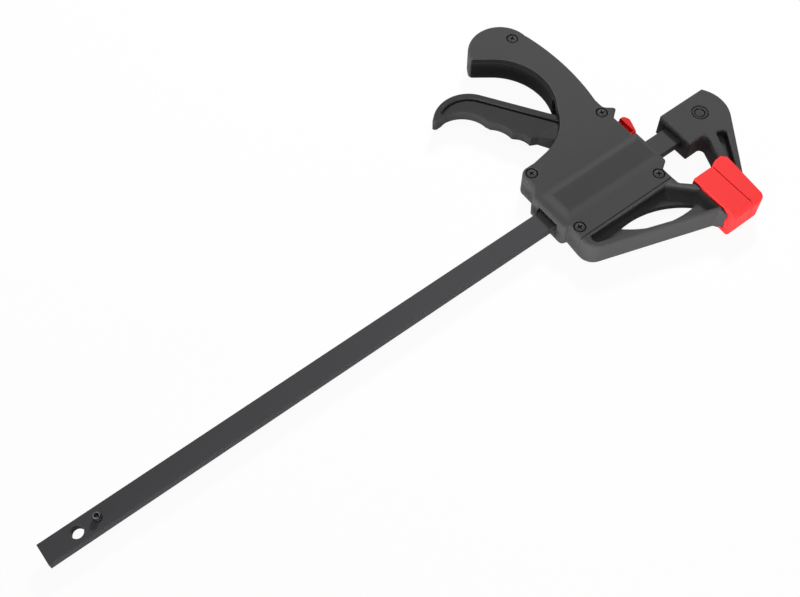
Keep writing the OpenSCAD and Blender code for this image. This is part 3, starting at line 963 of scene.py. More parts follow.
class MakerTree:
    """A geometry node tree with named inputs, ended by Realize Instances and Set Material."""

    def __init__(self, name: str, *inputs: str, kind: Sockets = Sockets.NUMBER) -> None:
        """Starts the tree.

        Args:
            name: the tree's name.
            inputs: the inputs' names.
            kind: the inputs' kind.
        """
        self.tree = bpy.data.node_groups.new(name, "GeometryNodeTree")
        for side in ("INPUT", "OUTPUT"):
            self.tree.interface.new_socket(name="Geometry", in_out=side, socket_type="NodeSocketGeometry")
        self.ids: dict[str, str] = {}
        for key, sort in {**dict.fromkeys(inputs, kind), "Material": Sockets.MATERIAL}.items():
            socket = self.tree.interface.new_socket(name=key, in_out="INPUT", socket_type=sort.value)
            self.ids[key] = socket.identifier
        self.graph = Graph(self.tree)
        self.given = self.graph.add("NodeGroupInput").outputs
        self.end = self.graph.add("NodeGroupOutput")

    def finish(self, made: bpy.types.NodeSocket) -> None:
        """Ends the tree.

        Args:
            made: the geometry that the tree has made.
        """
        real = self.graph.add("GeometryNodeRealizeInstances", {"Geometry": made}).outputs[0]
        painted = self.graph.add("GeometryNodeSetMaterial", {0: real, "Material": self.given["Material"]})
        self.tree.links.new(painted.outputs[0], self.end.inputs["Geometry"])

    def run(self, name: str, values: dict[str, object],
            start: bpy.types.Mesh | None = None) -> bpy.types.Object:
        """Runs the tree once and keeps its mesh.

        Args:
            name: the piece's name.
            values: a value for each named input.
            start: the mesh that the tree starts from, if it needs one.

        Returns:
            The piece, a plain mesh with no modifier.
        """
        piece = place(name, start or bpy.data.meshes.new(name))
        maker = piece.modifiers.new("maker", "NODES")
        maker.node_group = self.tree
        for key, value in values.items():
            maker[self.ids[key]] = value
        return bake_modifiers(piece)


def coil_tree() -> MakerTree:
    """The tree that winds a compression spring along X.

    Returns:
        The tree, with inputs Left, Length, Radius, Wire and Turns.
    """
    made = MakerTree("Spring coil", "Left", "Length", "Radius", "Wire", "Turns")
    graph, given = made.graph, made.given
    line = graph.add("GeometryNodeCurveSpiral", {
        "Resolution": 28, "Rotations": given["Turns"], "Start Radius": given["Radius"],
        "End Radius": given["Radius"], "Height": given["Length"]})
    wire = graph.add("GeometryNodeCurvePrimitiveCircle", {
        "Resolution": 10, "Radius": graph.maths("MULTIPLY", given["Wire"], 0.5)})
    tube = graph.add("GeometryNodeCurveToMesh", {
        "Curve": line.outputs[0], "Profile Curve": wire.outputs[0], "Fill Caps": True})
    left = graph.add("ShaderNodeCombineXYZ", {"X": given["Left"]})
    laid = graph.add("GeometryNodeTransform", {
        "Geometry": tube.outputs[0], "Translation": left.outputs[0], "Rotation": (0.0, math.pi / 2, 0.0)})
    made.finish(laid.outputs[0])
    return made


def flat_bar_tree() -> MakerTree:
    """The tree that makes a flat bar along X with eased edges.

    Returns:
        The tree, with inputs Left, Right, Width, Thickness and Ease.
    """
    made = MakerTree("Flat bar", "Left", "Right", "Width", "Thickness", "Ease")
    graph, given = made.graph, made.given
    outline = graph.add("GeometryNodeCurvePrimitiveQuadrilateral", {
        "Width": given["Width"], "Height": given["Thickness"]})
    eased = graph.add("GeometryNodeFilletCurve", {
        "Curve": outline.outputs[0], "Count": 4, "Radius": given["Ease"]}, mode="POLY")
    ends = [graph.add("ShaderNodeCombineXYZ", {"X": given[key]}).outputs[0] for key in ("Left", "Right")]
    line = graph.add("GeometryNodeCurvePrimitiveLine", {"Start": ends[0], "End": ends[1]})
    swept = graph.add("GeometryNodeCurveToMesh", {
        "Curve": line.outputs[0], "Profile Curve": eased.outputs[0], "Fill Caps": True})
    made.finish(swept.outputs[0])
    return made


def scatter_tree() -> MakerTree:
    """The tree that sets a template piece on points, each turned by the point's own angle.

    Returns:
        The tree, with input Template.
    """
    made = MakerTree("Set on points", "Template", kind=Sockets.OBJECT)
    graph, given = made.graph, made.given
    template = graph.add("GeometryNodeObjectInfo", {"Object": given["Template"]})
    angle = graph.add("GeometryNodeInputNamedAttribute", {"Name": "turn"}, data_type="FLOAT")
    about = graph.add("ShaderNodeCombineXYZ", {"Z": angle.outputs["Attribute"]})
    turn = graph.add("FunctionNodeEulerToRotation", {0: about.outputs[0]})
    held = graph.add("GeometryNodeInstanceOnPoints", {
        "Points": given["Geometry"], "Instance": template.outputs["Geometry"], "Rotation": turn.outputs[0]})
    made.finish(held.outputs[0])
    return made


def turned_points(name: str, spots: Sequence[Vector], turns_deg: Sequence[float]) -> bpy.types.Mesh:
    """Loose points that each carry an angle.

    Args:
        name: the mesh's name.
        spots: the points.
        turns_deg: each point's angle about Z.

    Returns:
        The mesh.
    """
    data = bpy.data.meshes.new(name)
    data.from_pydata([tuple(s) for s in spots], [], [])
    turn = data.attributes.new("turn", "FLOAT", "POINT")
    turn.data.foreach_set("value", [math.radians(t) for t in turns_deg])
    return data


# ---------------------------------------------------------------- the clamp


@dataclass(frozen=True)
class Datum:
    """Planes, places and sizes that several assemblies share, most of them read from the frame."""

    nose_x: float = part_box("front_cover")[0].x
    body_low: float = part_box("front_cover")[0].y
    split_z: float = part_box("front_cover")[0].z
    ridge_top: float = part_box("front_cover")[1].z
    face_z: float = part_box("rear_housing")[1].z
    pivot: Vector = foot("trigger_pin")
    nose_l: float = 81.7 * MM
    ridge_w: float = 11.2 * MM
    ridge_flat: float = 7.5 * MM
    pad_edge: float = 0.9 * MM
    pad_plate: float = 7.0 * MM
    pad_end: float = 1.0 * MM
    split_share: float = 0.45
    end_facing: float = 0.7
    cut_in: float = 0.5 * MM


@dataclass
class Assembly:
    """What every sub-assembly shares: paints, places, a body to ride on and a report of its pieces."""

    paints: Paintbox
    datum: Datum
    body: ClassVar[str] = ""

    def fit(self, piece: bpy.types.Object, finish: Finish, slot: str, *nodes: str) -> None:
        """Paints a piece, sets it on the body and hides the CAD nodes that it stands for.

        Args:
            piece: the finished piece.
            finish: its finish.
            slot: the record's material slot; not used.
            nodes: the CAD nodes that it replaces.
        """
        self.paints.paint(piece, finish)
        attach(piece, self.body)
        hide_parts(*nodes)
        LOG.info("%s: %d faces, stands for %s", piece.name, len(piece.data.polygons), ", ".join(nodes))

    def dress_nodes(self, finish: Finish, *nodes: str) -> None:
        """Gives CAD nodes that stay as they are a finish.

        Args:
            finish: the finish.
            nodes: the nodes' names.
        """
        for node in nodes:
            self.paints.paint(frame["nodes"][node], finish)
            LOG.info("%s: kept", node)

    def pad(self, node: str, name: str, plain: Scales) -> None:
        """A soft pad: the CAD solid with its edges rounded, some of them less.

        Args:
            node: the CAD node.
            name: the piece's name.
            plain: which edges are rounded less, from their places and outward directions along the bar.
        """
        d, (low, high) = self.datum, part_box(node)
        soft = SoftSlab(section(node, d.pad_plate)[0], low.z, high.z, d.pad_edge, d.pad_edge, SPARE,
                        scales=lambda at, out: np.where(plain(at[:, 0], out[:, 0]), d.split_share, 1.0))
        self.fit(shade(trimmed(node, name, soft.build("pad_tool"))), Finish.PAD, "pad_plastic", node)


@dataclass
class BarAssembly(Assembly):
    """The bar with its stop pin, the fixed jaw and what holds it."""

    body: ClassVar[str] = "bar_assembly"
    ease: float = 0.45 * MM
    hole_mouth: float = 0.35 * MM
    pin_wall: float = 0.8 * MM
    pin_ease: float = 0.4 * MM
    pin_slot: float = 0.8 * MM
    pin_slot_deg: float = -60.0
    jaw_edge: float = 1.3 * MM
    jaw_rim: float = 1.0 * MM
    head_half: float = 6.7 * MM
    head_z: float = 4.69 * MM
    head_edge: float = 0.2 * MM
    bolt_r: float = 3.0 * MM
    bolt_ease: float = 0.5 * MM
    seat_r: float = 5.45 * MM
    seat_d: float = 1.1 * MM
    nut_cone: float = 1.3 * MM
    nut_face: float = 0.6 * MM
    nut_lip: float = 0.15 * MM
    mouth_gap: float = 0.1 * MM
    mouth_flare: float = 0.7 * MM
    mouth_waist: float = 0.9 * MM
    mouth_floor: float = 2.0 * MM

    def build(self) -> None:
        """Builds every piece of the assembly."""
        self.bar()
        self.stop_pin()
        self.fixed_jaw()
        self.fixed_pad()
        self.nut()
        self.bolt()

    def bar(self) -> None:
        """The flat bar, with its hanging hole and the holes of its pin and bolt."""
        low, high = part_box("bar")
        piece = flat_bar_tree().run("flat_bar", {
            "Left": low.x, "Right": high.x, "Width": high.y - low.y, "Thickness": high.z - low.z,
            "Ease": self.ease, "Material": self.paints.material(Finish.BAR)})
        tall, straight = 1.2 * high.z, high.z - self.hole_mouth
        for hole in section("bar", 0.0)[1:]:
            centre, radius = (hole.max(axis=0) + hole.min(axis=0)) / 2, np.ptp(hole[:, 0]) / 2
            wide = radius + tall - straight
            profile = [(wide, -tall), (radius, -straight), (radius, straight), (wide, tall)]
            carve(piece, lathe("hole_tool", profile, Vector((*centre, 0.0))), Carve.CUT)
        self.fit(shade(piece), Finish.BAR, "bar_steel", "bar")

    def stop_pin(self) -> None:
        """The rolled pin: a split tube with eased ends."""
        low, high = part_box("stop_pin")
        at, radius, ease_l = foot("stop_pin"), (high.x - low.x) / 2, self.pin_ease
        bore = radius - self.pin_wall
        outer = [(radius - ease_l, low.z), (radius, low.z + ease_l), (radius, high.z - ease_l),
                 (radius - ease_l, high.z)]
        inner = [(bore + ease_l / 2, low.z - ease_l), (bore, low.z + ease_l), (bore, high.z - ease_l),
                 (bore + ease_l / 2, high.z + ease_l)]
        piece = lathe("rolled_stop_pin", outer, at)
        carve(piece, lathe("bore_tool", inner, at), Carve.CUT)
        half = self.pin_slot / 2
        slot = box_solid("slot_tool", (0.0, -half, 2 * low.z), (2 * radius, half, 2 * high.z))
        slot.data.transform(Matrix.Translation(at) @ Matrix.Rotation(math.radians(self.pin_slot_deg), 4, "Z"))
        carve(piece, slot, Carve.CUT)
        self.fit(shade(piece), Finish.PIN, "pin_steel", "stop_pin")

    def fixed_jaw(self) -> None:
        """The fixed jaw, the CAD solid with its outer edges rounded."""
        low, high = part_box("fixed_jaw")
        outline = section("fixed_jaw", high.z - self.jaw_rim)[0]
        whole = section("fixed_jaw", self.head_z)[0]
        reach, seat_z = self.head_half + self.head_edge, high.z - self.seat_d
        soft = SoftSlab(outline, low.z, high.z, self.jaw_edge, self.jaw_edge, SPARE).build("jaw_tool")
        head = SoftSlab(whole, -reach, reach, self.head_edge, self.head_edge, SPARE).build("head_tool")
        piece = trimmed("fixed_jaw", "fixed_jaw_moulding", carve(soft, head, Carve.JOIN))
        seat = [(self.seat_r, seat_z), (self.seat_r, high.z + PAST)]
        carve(piece, lathe("seat_tool", seat, foot("jaw_nut")), Carve.CUT)
        self.fit(shade(piece), Finish.NYLON, "jaw_plastic", "fixed_jaw")

    def fixed_pad(self) -> None:
        """The soft pad on the fixed jaw, rounded less where it meets the other pad."""
        left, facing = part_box("fixed_pad")[0].x + self.datum.pad_end, self.datum.end_facing
        self.pad("fixed_pad", "fixed_jaw_pad", lambda x, out: (x < left) & (out < -facing))

    def nut(self) -> None:
        """The nut, with its corners turned off and the mouth of its thread opened."""
        low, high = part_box("jaw_nut")
        flats, radius, thread = (high.y - low.y) / 2, self.bolt_r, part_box("jaw_bolt")[1].z
        cone = [(flats + PAST, low.z - PAST), (flats + PAST, high.z - self.nut_cone),
                (flats - 2 * self.nut_face / 3, high.z - self.nut_lip), (flats - self.nut_face, high.z)]
        mouth = [(radius + self.mouth_gap, thread - self.mouth_floor),
                 (radius + 1.5 * self.mouth_gap, thread - self.mouth_waist),
                 (radius + self.mouth_flare, high.z + self.mouth_gap)]
        piece = trimmed("jaw_nut", "turned_jaw_nut", lathe("cone_tool", cone, foot("jaw_nut")))
        carve(piece, lathe("mouth_tool", mouth, foot("jaw_nut")), Carve.CUT)
        self.fit(shade(piece), Finish.BOLT, "bolt_steel", "jaw_nut")

    def bolt(self) -> None:
        """The bolt, its end eased where it shows in the nut."""
        (low, high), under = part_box("jaw_bolt"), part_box("jaw_nut")[0].z
        wide, radius, soft = high.x - low.x, self.bolt_r, self.bolt_ease
        ends = [(wide, low.z - PAST), (wide, under - PAST), (radius, under), (radius, high.z - soft),
                (radius - soft / 2, high.z - soft / 5), (radius - soft, high.z)]
        piece = trimmed("jaw_bolt", "eased_jaw_bolt", lathe("end_tool", ends, foot("jaw_nut")))
        self.fit(shade(piece), Finish.BOLT, "bolt_steel", "jaw_bolt")


@dataclass
class Carriage(Assembly):
    """The moulded housing that slides on the bar, with its jaw, pad, screws and springs."""

    body: ClassVar[str] = "carriage"
    edge: float = 1.7 * MM
    seam_w: float = 0.6 * MM
    seam_share: float = 0.12
    seam_facing: float = 0.9
    palm_share: float = 0.6
    palm_facing: float = 0.6
    ridge_soft: float = 1.5 * MM
    ridge_x: float = 4.7 * MM
    ridge_rise: float = 5.5 * MM
    ridge_fall: float = 5.0 * MM
    ridge_ease: float = 0.55
    parting: float = 0.18 * MM
    recess_floor: float = 6.4 * MM
    recess_r: float = 3.9 * MM
    recess_mouth: float = 0.12 * MM
    shank_r: float = 1.7 * MM
    spring_room: float = 0.5 * MM
    spring_play: float = 0.3 * MM
    back_z: float = -6.55 * MM
    back_start: float = 4 * MM
    back_depth: float = 3 * MM
    jaw_z: float = 6.2 * MM
    wire: float = 1.35 * MM

    def build(self) -> None:
        """Builds every piece of the assembly."""
        self.front_cover()
        self.rear_housing()
        self.sliding_pad()
        self.screws()
        self.springs()
        self.dress_nodes(Finish.PLATE, "trigger_pin")

    def _seam(self, at: np.ndarray, out: np.ndarray) -> np.ndarray:
        """Less rounding along the seam between cover and jaw, and round the palm.

        Args:
            at: the edges' middles.
            out: the edges' outward directions.

        Returns:
            Each edge's share.
        """
        level = np.abs(out[:, 1]) > self.seam_facing
        seam = level & (np.abs(at[:, 1] - self.datum.body_low) < self.seam_w)
        away = np.array(PALM_SHADE.middle.xy) - at
        far = np.linalg.norm(away, axis=1)
        palm = (far < PALM_SHADE.reach) & ((away * out).sum(axis=1) > self.palm_facing * far)
        return np.where(seam, self.seam_share, np.where(palm, self.palm_share, 1.0))

    def _ridge(self, at: np.ndarray) -> np.ndarray:
        """How far the raised back over the bar stands above the cover's face.

        Args:
            at: places, n by 2.

        Returns:
            The heights.
        """
        d, soft = self.datum, self.ridge_soft
        x, y = at[:, 0] - d.nose_x, np.abs(at[:, 1])
        side = ease((d.ridge_w + soft - y) / (d.ridge_w - d.ridge_flat + 2 * soft))
        front = np.clip((x - self.ridge_x) / self.ridge_rise, 0, 1)
        ends = np.minimum(front, np.clip((d.nose_l - x) / self.ridge_fall, 0, 1))
        eased = (1 - self.ridge_ease) * ends + self.ridge_ease * ease(ends)
        return (d.ridge_top - d.face_z) * np.minimum(side, eased)

    def _ridge_grid(self) -> np.ndarray:
        """Points on the cover where the raised back bends.

        Returns:
            The points, n by 2.
        """
        side = np.array([0.0, 3.0, 5.8, 6.6, 7.4, 8.2, 9.0, 9.8, 10.6, 11.4, 12.2, 13.0]) * MM
        left = np.array([4.0, 4.7, 5.6, 6.6, 7.6, 8.6, 9.5, 10.2, 11.0]) * MM
        right = self.datum.nose_l - np.array([6.0, 5.2, 4.4, 3.6, 2.8, 2.2]) * MM
        along = np.concatenate([left, np.linspace(16 * MM, 71 * MM, 12), right]) + self.datum.nose_x
        across = np.concatenate([-side[:0:-1], side])
        return np.array([(x, y) for x in along for y in across])

    def front_cover(self) -> None:
        """The front shell, with its raised back, softened edges and screw recesses."""
        d, top, mouth = self.datum, self.datum.face_z, self.recess_mouth
        outline = section("front_cover", d.split_z + d.cut_in)[0]
        piece = SoftSlab(outline, d.split_z, top, self.parting, self.edge, scales=self._seam,
                         crown=self._ridge, crown_grid=self._ridge_grid()).build("front_cover_shell")
        shank, ring, floor = self.shank_r, self.recess_r, self.recess_floor
        recess = [(shank, 0.0), (shank, floor), (ring, floor), (ring, top - mouth), (ring + mouth, top),
                  (ring + mouth, top + 2 * PAST)]
        for node in CarriageScrews.NODES:
            carve(piece, lathe("recess_tool", recess, foot(node)), Carve.CUT)
        for spring in ("drive_spring", "brake_spring"):
            low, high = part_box(spring)
            radius = (high.z - low.z) / 2 + self.spring_room
            room = [(radius, low.x - self.spring_play), (radius, high.x + self.spring_play)]
            carve(piece, lathe("tunnel_tool", room, Vector(), Vector((1, 0, 0))), Carve.CUT)
        self.fit(shade(piece), Finish.HOUSING, "housing_plastic", "front_cover")

    def rear_housing(self) -> None:
        """The rear shell and sliding jaw: the CAD solid with its outer edges rounded."""
        d, half, low = self.datum, self.datum.face_z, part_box("rear_housing")[0]
        everything = section("rear_housing", self.back_z)[0]
        jaw = section("rear_housing", self.jaw_z)[0]
        back = SoftSlab(everything, -half, d.split_z, self.edge, self.parting, SPARE).build("back_tool")
        front = SoftSlab(jaw, 0.0, half, 0.0, self.edge, SPARE, scales=self._seam).build("jaw_tool")
        ridge = box_solid("ridge_tool", (low.x + self.back_start, -d.ridge_w, low.z - PAST),
                          (low.x + d.nose_l, d.ridge_w, self.back_depth - half))
        for tool in (front, ridge):
            carve(back, tool, Carve.JOIN)
        piece = trimmed("rear_housing", "rear_housing_shell", back)
        self.fit(shade(piece), Finish.HOUSING, "housing_plastic", "rear_housing")

    def sliding_pad(self) -> None:
        """The soft pad on the sliding jaw, rounded less at its left and where it meets the other pad."""
        right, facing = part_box("sliding_pad")[1].x - self.datum.pad_end, self.datum.end_facing
        self.pad("sliding_pad", "sliding_jaw_pad",
                 lambda x, out: ((x > right) & (out > facing)) | (out < -facing))

    def screws(self) -> None:
        """The cover screws."""
        piece = CarriageScrews().build(self.paints.material(Finish.SCREW))
        self.fit(shade(piece), Finish.SCREW, "screw_steel", *CarriageScrews.NODES)

    def springs(self) -> None:
        """The two springs round the bar, each wound once at the length of its CAD node."""
        tree = coil_tree()
        for node, name, turns, joint, stroke in (
                ("drive_spring", "drive_plate_spring", 7.0, "trigger_hinge", 4.9 * MM),
                ("brake_spring", "brake_plate_spring", 4.0, "release_hinge", 1.2 * MM)):
            low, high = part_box(node)
            length = high.x - low.x
            piece = tree.run(name, {
                "Left": low.x + self.wire / 2, "Length": length - self.wire,
                "Radius": (high.z - low.z - self.wire) / 2, "Wire": self.wire, "Turns": turns,
                "Material": self.paints.material(Finish.WIRE)})
            self.fit(shade(piece), Finish.WIRE, "spring_steel", node)
            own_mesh(piece)


@dataclass(frozen=True)
class CarriageScrews:
    """The pan-head screws with a cross recess that hold the front cover."""

    NODES: ClassVar[tuple[str, ...]] = (
        "cover_screw_grip", "cover_screw_ear", "cover_screw_corner", "cover_screw_front", "cover_screw_rear")
    turns_deg: tuple[float, ...] = (28.0, 71.0, 12.0, 50.0, 83.0)
    top: float = 9.0 * MM
    head_r: float = 3.2 * MM
    head_h: float = 2.0 * MM
    head_ease: float = 0.1 * MM
    crown: float = 0.5 * MM
    crown_r: float = 0.02 * MM
    shank_r: float = 1.45 * MM
    length: float = 11 * MM
    point: float = 1.4 * MM
    tip_r: float = 0.3 * MM
    pitch: float = 1.3 * MM
    thread: float = 0.22 * MM
    cross_l: float = 1.75 * MM
    cross_w: float = 0.45 * MM
    cross_d: float = 1.9 * MM

    def profile(self) -> list[tuple[float, float]]:
        """The turned shape of one screw, from its point to the middle of its head.

        Returns:
            Radius and height, the top of the head at height 0.
        """
        root, made = self.shank_r - self.thread, [(self.tip_r, -self.length)]
        height = self.point - self.length
        while height < -self.head_h - self.pitch:
            made += [(root, height), (self.shank_r, height + 0.3 * self.pitch),
                     (root, height + 0.6 * self.pitch)]
            height += self.pitch
        made += [(root, -self.head_h), (self.head_r - self.head_ease, -self.head_h)]
        for turn in range(0, 90, 15):
            a = math.radians(turn)
            made.append((self.head_r * math.cos(a), self.crown * (math.sin(a) - 1)))
        return [*made, (self.crown_r, 0.0)]

    def template(self) -> bpy.types.Object:
        """One screw, standing on the origin with the top of its head at height 0.

        Returns:
            The screw.
        """
        piece = lathe("screw_template", self.profile(), Vector(), sides=40)
        for turn in (0, 90):
            tool = box_solid("cross_tool", (-self.cross_l, -self.cross_w, -self.cross_d),
                             (self.cross_l, self.cross_w, PAST))
            tool.data.transform(Matrix.Rotation(math.radians(turn), 4, "Z"))
            carve(piece, tool, Carve.CUT)
        return piece

    def build(self, material: bpy.types.Material) -> bpy.types.Object:
        """Sets a screw in each recess, each turned its own way.

        Args:
            material: the screws' material.

        Returns:
            The screws as one piece.
        """
        template = self.template()
        spots = [foot(node) + self.top * UP for node in self.NODES]
        start = turned_points("screw_spots", spots, self.turns_deg)
        piece = scatter_tree().run("cover_screws", {"Template": template, "Material": material}, start)
        bpy.data.objects.remove(template)
        return piece


@dataclass
class Trigger(Assembly):
    """The moulded trigger: a flanged back, a groove under the flange and soft finger scallops."""

    body: ClassVar[str] = "trigger"
    edge: float = 0.6 * MM
    flange: float = 3.5 * MM
    side_step: float = 1.2 * MM
    step_w: float = 0.4 * MM
    groove_w: float = 2.2 * MM
    groove_rise: float = 1.5 * MM
    groove_d: float = 1.5 * MM
    finger_r: float = 2.6 * MM
    finger_d: float = 0.8 * MM
    hub: float = 17 * MM
    tip_r: float = 6.0 * MM
    fade: float = 2.5 * MM
    back_way: tuple[float, float] = (0.6, 0.8)
    thicken: float = 1.6 * MM
    gate_y: float = 47 * MM
    gate_fade: float = 5 * MM
    swell: float = 1.6 * MM
    swell_power: float = 0.6
    swell_from: tuple[float, float] = (-6.1 * MM, 97.7 * MM)
    swell_to: tuple[float, float] = (19.2 * MM, 77.5 * MM)
    longest: float = 1.6 * MM
    closest: float = 0.05 * MM
    overlap: float = 0.1 * MM
    play: float = 0.05 * MM
    grid_depths: tuple[float, ...] = (
        0.5, 1.0, 1.6, 2.3, 3.1, 3.5, 3.7, 3.9, 4.2, 4.6, 5.1, 5.6, 6.2, 7.0, 8.0, 9.2, 10.5)

    def _sides(self, outline: np.ndarray) -> tuple[np.ndarray, np.ndarray]:
        """Sorts the outline's edges.

        Args:
            outline: the trigger's outline.

        Returns:
            Which edges are the blade's back, and which its finger side.
        """
        ends = np.roll(outline, -1, axis=0)
        outward = np.stack([(ends - outline)[:, 1], -(ends - outline)[:, 0]], axis=1)
        blade = np.linalg.norm((outline + ends) / 2 - self.datum.pivot.xy, axis=1) > self.hub
        back = blade & (outward @ np.array(self.back_way) > 0)
        return back, blade & ~back

    def _fuller(self, outline: np.ndarray) -> np.ndarray:
        """Fills out the finger side, above all the long scallop next to the tip.

        Args:
            outline: the trigger's outline.

        Returns:
            The fuller outline.
        """
        start, end = (np.array(p) + (self.datum.nose_x, 0.0) for p in (self.swell_from, self.swell_to))
        middles = (outline + np.roll(outline, -1, axis=0)) / 2
        share = np.clip((middles - start) @ (end - start) / ((end - start) @ (end - start)), 0, 1)
        outside = ease((middles[:, 1] - self.gate_y) / self.gate_fade)
        push = self.thicken * outside + self.swell * np.sin(np.pi * share) ** self.swell_power
        moved = inset(outline, -push * self._sides(outline)[1])
        return moved[np.linalg.norm(moved - np.roll(moved, 1, axis=0), axis=1) > self.closest]

    def _relief(self, outline: np.ndarray, at: np.ndarray) -> np.ndarray:
        """The shape of the trigger's side: flange, groove, pocket and soft finger edge.

        Args:
            outline: the trigger's outline.
            at: places, n by 2.

        Returns:
            The heights against the flange's face.
        """
        ends, pivot = np.roll(outline, -1, axis=0), np.array(self.datum.pivot.xy)
        back, finger = self._sides(outline)
        tip = outline[np.argmax(np.linalg.norm(outline - pivot, axis=1))]
        deep = distance(at, outline[back], ends[back]) - self.flange
        near = np.clip(distance(at, outline[finger], ends[finger]) / self.finger_r, 0, 1)
        clear = ease((np.linalg.norm(at - pivot, axis=1) - self.hub) / self.fade)
        blade = ease((np.linalg.norm(at - tip, axis=1) - self.tip_r) / self.fade)
        step = ease(deep / self.step_w)
        groove = step * ease((self.groove_w - deep) / self.groove_rise)
        drop = 1 - np.sqrt(1 - (1 - near) ** 2)
        return -clear * (blade * (self.side_step * step + self.groove_d * groove) + self.finger_d * drop)

    def build(self) -> None:
        """Builds the trigger from two mirrored halves."""
        outline = self._fuller(section("trigger", 0.0, self.longest)[0])
        high, (left, right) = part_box("trigger")[1].z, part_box("trigger_pin")
        grid = np.concatenate([inset(outline, np.full(len(outline), d * MM)) for d in self.grid_depths])
        grid = grid[np.unique(np.round(grid, 5), axis=0, return_index=True)[1]]
        half = SoftSlab(outline, -self.overlap, high, 0.0, self.edge, crown_grid=grid,
                        crown=lambda at: self._relief(outline, at))
        piece, other = half.build("trigger_blade"), half.build("lower_half")
        other.data.transform(Matrix.Diagonal((1, 1, -1, 1)))
        other.data.flip_normals()
        carve(piece, other, Carve.JOIN)
        bore = (right.x - left.x) / 2 + self.play
        carve(piece, lathe("bore_tool", [(bore, -2 * high), (bore, 2 * high)], self.datum.pivot), Carve.CUT)
        self.fit(shade(piece), Finish.TRIGGER, "housing_plastic", "trigger")


@dataclass
class DrivePlate(Assembly):
    """The plate that grips the bar when the trigger is squeezed."""

    body: ClassVar[str] = "drive_plate"

    def build(self) -> None:
        """Dresses the plate."""
        self.dress_nodes(Finish.PLATE, "drive_plate")


@dataclass
class ReleaseLever(Assembly):
    """The brake plate and the red button that frees it."""

    body: ClassVar[str] = "release_lever"
    edge: float = 1.5 * MM
    neck_x: float = 83.6 * MM
    neck_y: float = 15.9 * MM
    neck_w: float = 4.5 * MM
    neck_d: float = 3.0 * MM

    def build(self) -> None:
        """Builds the button and dresses the plate."""
        low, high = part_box("release_button")
        outline = section("release_button", high.z - self.datum.cut_in)[0]
        soft = SoftSlab(outline, low.z, high.z, self.edge, self.edge, SPARE)
        piece = trimmed("release_button", "release_button_cap", soft.build("button_tool"))
        right = self.datum.nose_x + self.neck_x
        neck = box_solid("neck_tool", (right - self.neck_w, self.neck_y, high.z - self.neck_d),
                         (right, 2 * high.y, 2 * high.z))
        carve(piece, neck, Carve.CUT)
        self.fit(shade(piece), Finish.BUTTON, "button_plastic", "release_button")
        self.dress_nodes(Finish.PLATE, "brake_plate")


# ---------------------------------------------------------------- studio


def aim(name: str, data: bpy.types.ID, stand: Vector, target: Vector,
        roll_deg: float = 0.0) -> bpy.types.Object:
    """Puts a camera or a lamp in the scene, pointed at a place.

    Args:
        name: the object's name.
        data: the camera or lamp.
        stand: where it stands.
        target: what it points at.
        roll_deg: how far it is rolled.

    Returns:
        The object.
    """
    made = place(name, data)
    made.location = stand
    made.rotation_mode = "QUATERNION"
    look = (target - stand).to_track_quat("-Z", "Y")
    made.rotation_quaternion = look @ Quaternion(UP, math.radians(roll_deg))
    return made


@dataclass(frozen=True)
class View:
    """The camera: where it stands, what it looks at and how it is turned."""

    stand: Vector = Vector((21.2, -252.5, 570.6)) * MM
    target: Vector = Vector((214.7, 10.7, 0.0)) * MM
    roll_deg: float = -0.91
    lens: float = 51.85
    sensor: float = 36.0
    nearest: float = 0.01
    farthest: float = 20.0

    def build(self) -> None:
        """Makes the camera and gives it to the scene."""
        data = bpy.data.cameras.new("camera")
        data.lens, data.sensor_width = self.lens, self.sensor
        data.clip_start, data.clip_end = self.nearest, self.farthest
        bpy.context.scene.camera = aim("camera", data, self.stand, self.target, self.roll_deg)


@dataclass(frozen=True)
class Lamp:
    """A soft area lamp that points at the clamp."""

    name: str
    stand: Vector
    size: float
    power: float

    def build(self, target: Vector) -> None:
        """Makes the lamp.

        Args:
            target: what it points at.
        """
        data = bpy.data.lights.new(self.name, "AREA")
        data.size, data.energy = self.size, self.power
        aim(self.name, data, self.stand, target)


@dataclass(frozen=True)
class Belt:
    """A band of light low round one side of the surroundings.

    toward is where it stands, and reach how far it goes up and down from level, as a sine.
    """

    toward: Vector
    strength: float
    reach: float = 0.2


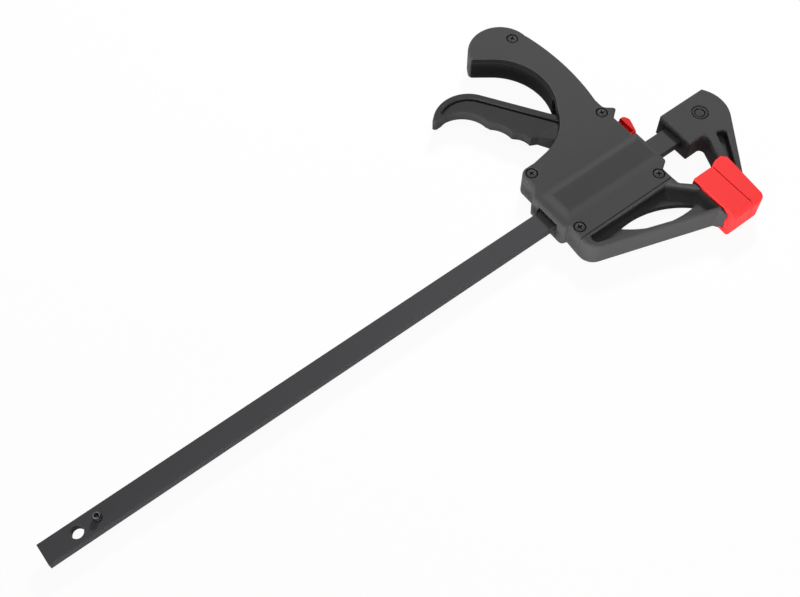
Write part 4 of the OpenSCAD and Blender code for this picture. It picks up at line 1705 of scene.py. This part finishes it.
@dataclass(frozen=True)
class Studio:
    """A white floor, dark surroundings with low belts of light, a key lamp and a lamp overhead."""

    sky: float = 0.02
    belts: tuple[Belt, ...] = (
        Belt(Vector((-0.707, -0.707, 0.0)), 24.0),
        Belt(Vector((-1.0, 0.0, 0.0)), 20.0),
        Belt(Vector((0.0, -1.0, 0.0)), 3.5),
        Belt(Vector((0.0, 1.0, 0.0)), 7.0),
    )
    floor_glow: float = 0.94
    floor_colour: tuple[float, float, float, float] = (0.86, 0.86, 0.86, 1.0)
    floor_size: float = 12.0
    middle: Vector = Vector((0.30, 0.02, 0.0))
    lamps: tuple[Lamp, ...] = (
        Lamp("key", Vector((1.004, 0.611, 0.919)), 0.25, 14.8),
        Lamp("top", Vector((0.3, -0.206, 1.28)), 0.6, 5.0),
    )

    def build(self, floor_z: float) -> None:
        """Makes the world, the floor and the lamps.

        Args:
            floor_z: the height that the clamp lies on.
        """
        scene = bpy.context.scene
        scene.view_settings.view_transform = "Standard"
        scene.world = bpy.data.worlds.new("surroundings")
        scene.world.use_nodes = True
        tree = scene.world.node_tree
        background = tree.nodes["Background"].inputs
        background["Color"].default_value = WHITE
        tree.links.new(self._surroundings(Graph(tree)), background["Strength"])
        self._floor(floor_z)
        for lamp in self.lamps:
            lamp.build(self.middle)

    def _surroundings(self, graph: Graph) -> bpy.types.NodeSocket:
        """The light from each direction; the camera sees plain white.

        Args:
            graph: the world's nodes.

        Returns:
            The strength.
        """
        where = graph.add("ShaderNodeTexCoord").outputs["Generated"]
        rise = graph.maths("ABSOLUTE", graph.add("ShaderNodeSeparateXYZ", {0: where}).outputs["Z"])
        light: object = self.sky
        for belt in self.belts:
            side = graph.vector("DOT_PRODUCT", where, belt.toward, out="Value")
            facing = graph.maths("POWER", graph.maths("MAXIMUM", side, 0.0), 2.0)
            near = graph.maths("SUBTRACT", 1.0, graph.maths("DIVIDE", rise, belt.reach), clamp=True)
            light = graph.maths("MULTIPLY_ADD", graph.maths("MULTIPLY", facing, near), belt.strength, light)
        return graph.maths("MAXIMUM", self._seen(graph), light)

    @staticmethod
    def _seen(graph: Graph) -> bpy.types.NodeSocket:
        """Whether a ray shows the background, straight from the camera, through glass or in a gloss.

        Args:
            graph: the nodes.

        Returns:
            1 for such a ray, otherwise 0.
        """
        ray = graph.add("ShaderNodeLightPath").outputs
        seen = graph.maths("MAXIMUM", ray["Is Camera Ray"], ray["Is Transmission Ray"])
        return graph.maths("MAXIMUM", seen, ray["Is Glossy Ray"])

    def _floor(self, height: float) -> None:
        """A plain floor that shows white to the camera and keeps a soft shadow.

        Args:
            height: the floor's height.
        """
        half, data = self.floor_size / 2, bpy.data.meshes.new("floor")
        corners = [(self.middle.x + x * half, self.middle.y + y * half, height)
                   for x, y in ((-1, -1), (1, -1), (1, 1), (-1, 1))]
        data.from_pydata(corners, [], [(0, 1, 2, 3)])
        made = bpy.data.materials.new("White floor")
        made.use_nodes = True
        graph, nodes = Graph(made.node_tree), made.node_tree.nodes
        nodes.remove(nodes["Principled BSDF"])
        plain = graph.add("ShaderNodeBsdfDiffuse", {"Color": self.floor_colour})
        glow = graph.add("ShaderNodeEmission", {"Color": WHITE, "Strength": 1.0})
        share = graph.maths("MULTIPLY", self._seen(graph), self.floor_glow)
        mixed = graph.add("ShaderNodeMixShader", {0: share, 1: plain.outputs[0], 2: glow.outputs[0]})
        made.node_tree.links.new(mixed.outputs[0], nodes["Material Output"].inputs["Surface"])
        data.materials.append(made)
        place("floor", data)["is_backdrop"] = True


def main() -> None:
    """Builds the camera, the studio and each sub-assembly in order."""
    logging.basicConfig(level=logging.INFO, format="%(name)s: %(message)s")
    cad_box = [list(corner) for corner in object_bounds()]
    View().build()
    Studio().build(cad_box[0][2])
    paints, datum = Paintbox(), Datum()
    for assembly in (BarAssembly, Carriage, Trigger, DrivePlate, ReleaseLever):
        assembly(paints, datum).build()
    bpy.context.view_layer.update()


if __name__ == "__main__":
    main()
